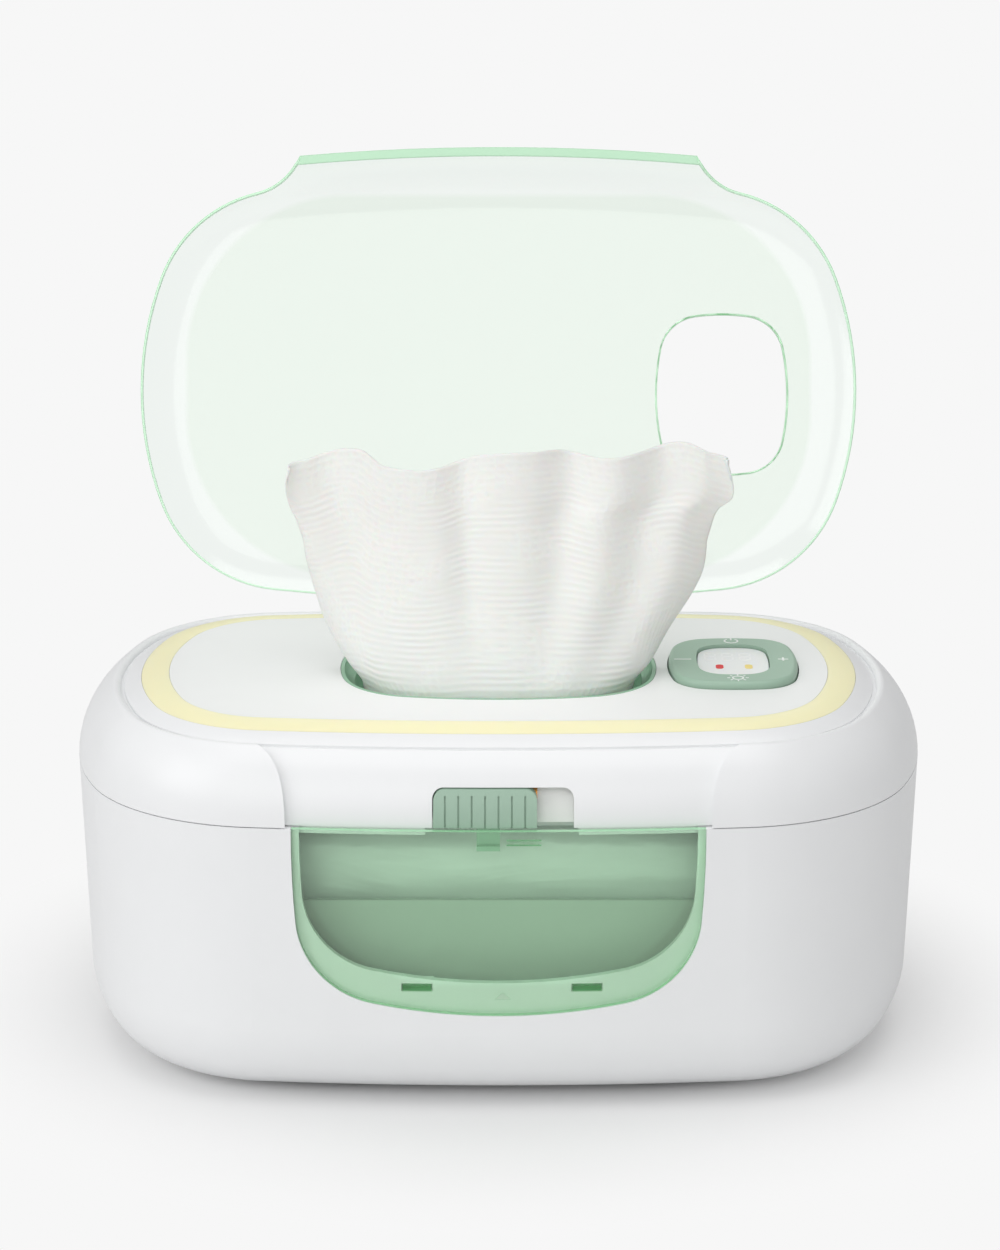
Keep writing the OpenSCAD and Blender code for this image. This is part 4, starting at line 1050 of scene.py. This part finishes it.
    def arrow(self) -> None:
        """Raises the small closing arrow at the foot of the window's pane."""
        tree = self.pane_skin()
        shape = bmesh.new()
        mid = Vector(self.arrow_mm) * MM
        corners = [mid + Vector(c) * MM for c in self.arrow_corners]
        rings = []
        for lift in (0.05, -0.22):
            ring = []
            for corner in corners:
                hit = tree.ray_cast(Vector((corner.x, -0.3, corner.y)), Vector((0, 1, 0)))[0]
                ring.append(shape.verts.new(hit + Vector((0, lift * MM, 0))))
            rings.append(ring)
        inner, outer = rings
        shape.faces.new(outer)
        shape.faces.new(inner[::-1])
        for k, after in ((0, 1), (1, 2), (2, 0)):
            shape.faces.new((inner[k], inner[after], outer[after], outer[k]))
        bmesh.ops.bevel(shape, geom=shape.edges[:], offset=0.08 * MM, segments=2, **BEVEL)
        new_piece("pane_arrow", shape, self.pane, Body.BASE)

    def barbs(self) -> None:
        """Adds the barbs behind the ledge on the two snap tabs under the pane."""
        tree = self.pane_skin()
        shape = bmesh.new()
        for x in self.tabs_mm:
            end = tree.ray_cast(Vector((x, 0.0, self.tab_z_mm)) * MM, Vector((0, -1, 0)))[0]
            made = bmesh.ops.create_cube(shape, size=1.0)["verts"]
            bmesh.ops.scale(shape, vec=Vector(self.barb_mm) * MM, verts=made)
            bmesh.ops.translate(shape, vec=end + Vector((0, 0.55, 0)) * MM, verts=made)
        bmesh.ops.bevel(shape, geom=shape.edges[:], offset=0.25 * MM, segments=2, **BEVEL)
        new_piece("pane_barbs", shape, self.barb, Body.BASE)

    def build(self) -> None:
        """Builds every print and small moulded mark."""
        self.keys()
        self.display()
        self.arrow()
        self.barbs()


@dataclass
class Studio:
    """Pale floor, soft light from the upper left, and the camera of the photograph."""

    floor_colour: str = "#F1F1F1"
    floor_size: float = 6.0
    # Distance from the middle at which the floor turns to even white, less to the sides, and that white
    fade: tuple[float, float] = (0.078, 0.17)
    oval: Triple = (0.95, 1.0, 1.0)
    floor_white: float = 0.93
    # World: strength of its light, and of the white that the camera sees
    soft: float = 0.43
    seen: float = 0.94
    # Camera of the photograph, which is 1000 by 1250 pixels
    focal_px: float = 4908.5
    height_px: int = 1250
    sensor_mm: float = 36.0
    shift: float = 0.0012
    place: Triple = (0.0, -1.35532, 0.5265)
    tilt_degrees: float = 16.91

    def floor(self) -> None:
        """Lays a floor that fills the view."""
        material, add, coords = blank_material("pale matt floor")
        at = {"Vector": coords.outputs["Object"]}
        cloud = add("TexNoise", {"Scale": 1.5, "Detail": 2.0}, at)
        base = srgb(self.floor_colour)
        colour = add("Mix", from_to(scaled(base, 0.99), base), {"Factor": cloud})
        matt = {"Roughness": 0.7, "Specular IOR Level": 0.2}
        shader = add("BsdfPrincipled", matt, {"Base Color": colour})
        # Away from the object's shadow the camera, mirrors and clear plastic see one even white
        oval = add("Mapping", {"Scale": self.oval}, at)
        away = add("VectorMath", {"operation": "LENGTH"}, {0: oval})
        far = add("MapRange", ramp(*self.fade) | SMOOTHSTEP, {"Value": away})
        ray = add("LightPath")
        rays = {0: ray.outputs["Is Camera Ray"], 1: ray.outputs["Is Transmission Ray"]}
        seen = add("Math", {"operation": "MAXIMUM"}, rays)
        share = add("Math", {"operation": "MULTIPLY"}, {0: far, 1: seen})
        white = add("Emission", {"Color": WHITE, "Strength": self.floor_white})
        mixed = add("MixShader", links={0: share, 1: shader, 2: white})
        add("OutputMaterial", links={"Surface": mixed})
        shape = bmesh.new()
        bmesh.ops.create_grid(shape, x_segments=1, y_segments=1, size=self.floor_size)
        new_object("floor", shape, material)

    def lamp(self, name: str, place: Triple, size: float, power: float, aim: Triple = (0, 0, 0.1)) -> None:
        """Hangs a square soft box.

        Args:
            name: Name of the lamp.
            place: Where it hangs, in metres.
            size: Side in metres.
            power: Power in watts.
            aim: Point that it faces.
        """
        data = bpy.data.lights.new(name, "AREA")
        data.size = size
        data.energy = power
        obj = bpy.data.objects.new(name, data)
        obj.location = place
        obj.rotation_euler = (Vector(aim) - Vector(place)).to_track_quat("-Z", "Y").to_euler()
        bpy.context.scene.collection.objects.link(obj)

    def light(self) -> None:
        """Sets the lamps and the world."""
        self.lamp("left_box", (-1.5, -0.9, 1.0), 1.2, 8.4)
        self.lamp("front_box", (-0.3, -1.8, 0.9), 1.2, 6.4)
        self.lamp("top_box", (0.0, -0.2, 1.9), 1.5, 13.2)
        world = bpy.data.worlds.new("studio")
        world.use_nodes = True
        world.node_tree.nodes.clear()
        add = partial(add_node, world.node_tree)
        ray = add("LightPath")
        # What lies under a clear sheet is lit by the soft world alone, as what lies bare is
        straight = add("Math", {"operation": "LESS_THAN", 1: 0.5}, {0: ray.outputs["Diffuse Depth"]})
        both = {0: straight, 1: ray.outputs["Is Transmission Ray"]}
        through = add("Math", {"operation": "MULTIPLY"}, both)
        rays = {0: ray.outputs["Is Camera Ray"], 1: through}
        seen = add("Math", {"operation": "MAXIMUM"}, rays)
        soft = add("Background", {"Color": WHITE, "Strength": self.soft})
        white = add("Background", {"Color": WHITE, "Strength": self.seen})
        mixed = add("MixShader", links={0: seen, 1: soft, 2: white})
        add("OutputWorld", links={"Surface": mixed})
        bpy.context.scene.world = world

    def camera(self) -> None:
        """Places the camera."""
        data = bpy.data.cameras.new("camera")
        data.sensor_fit = "VERTICAL"
        data.sensor_height = self.sensor_mm
        data.lens = self.focal_px * self.sensor_mm / self.height_px
        data.shift_x = self.shift
        data.clip_end = 30.0
        obj = bpy.data.objects.new("camera", data)
        obj.location = self.place
        obj.rotation_euler = (math.radians(90 - self.tilt_degrees), 0.0, 0.0)
        bpy.context.scene.collection.objects.link(obj)
        bpy.context.scene.camera = obj

    def build(self) -> None:
        """Builds the whole studio."""
        self.camera()
        self.floor()
        self.light()
        bpy.context.scene.view_settings.view_transform = "Standard"


def main() -> None:
    """Builds the studio, dresses the solids and adds the pieces."""
    logging.basicConfig(level=logging.INFO, format="%(name)s %(message)s")
    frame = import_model()
    Studio().build()
    solids = Solids(frame["nodes"])
    solids.dress()
    wear, look = solids.material, Finishes
    DrawnWipe(wear(look.cloth)).build()
    WipePack(wear(look.film), wear(look.inner)).build()
    LidLines(frame["nodes"]["lid"], wear(look.lid_line)).build()
    inks = (look.icon, look.red_mark, look.yellow_mark, look.digit, look.pane, look.inner)
    Prints(*map(wear, inks), frame["nodes"]["window_pane"]).build()


if __name__ == "__main__":
    main()
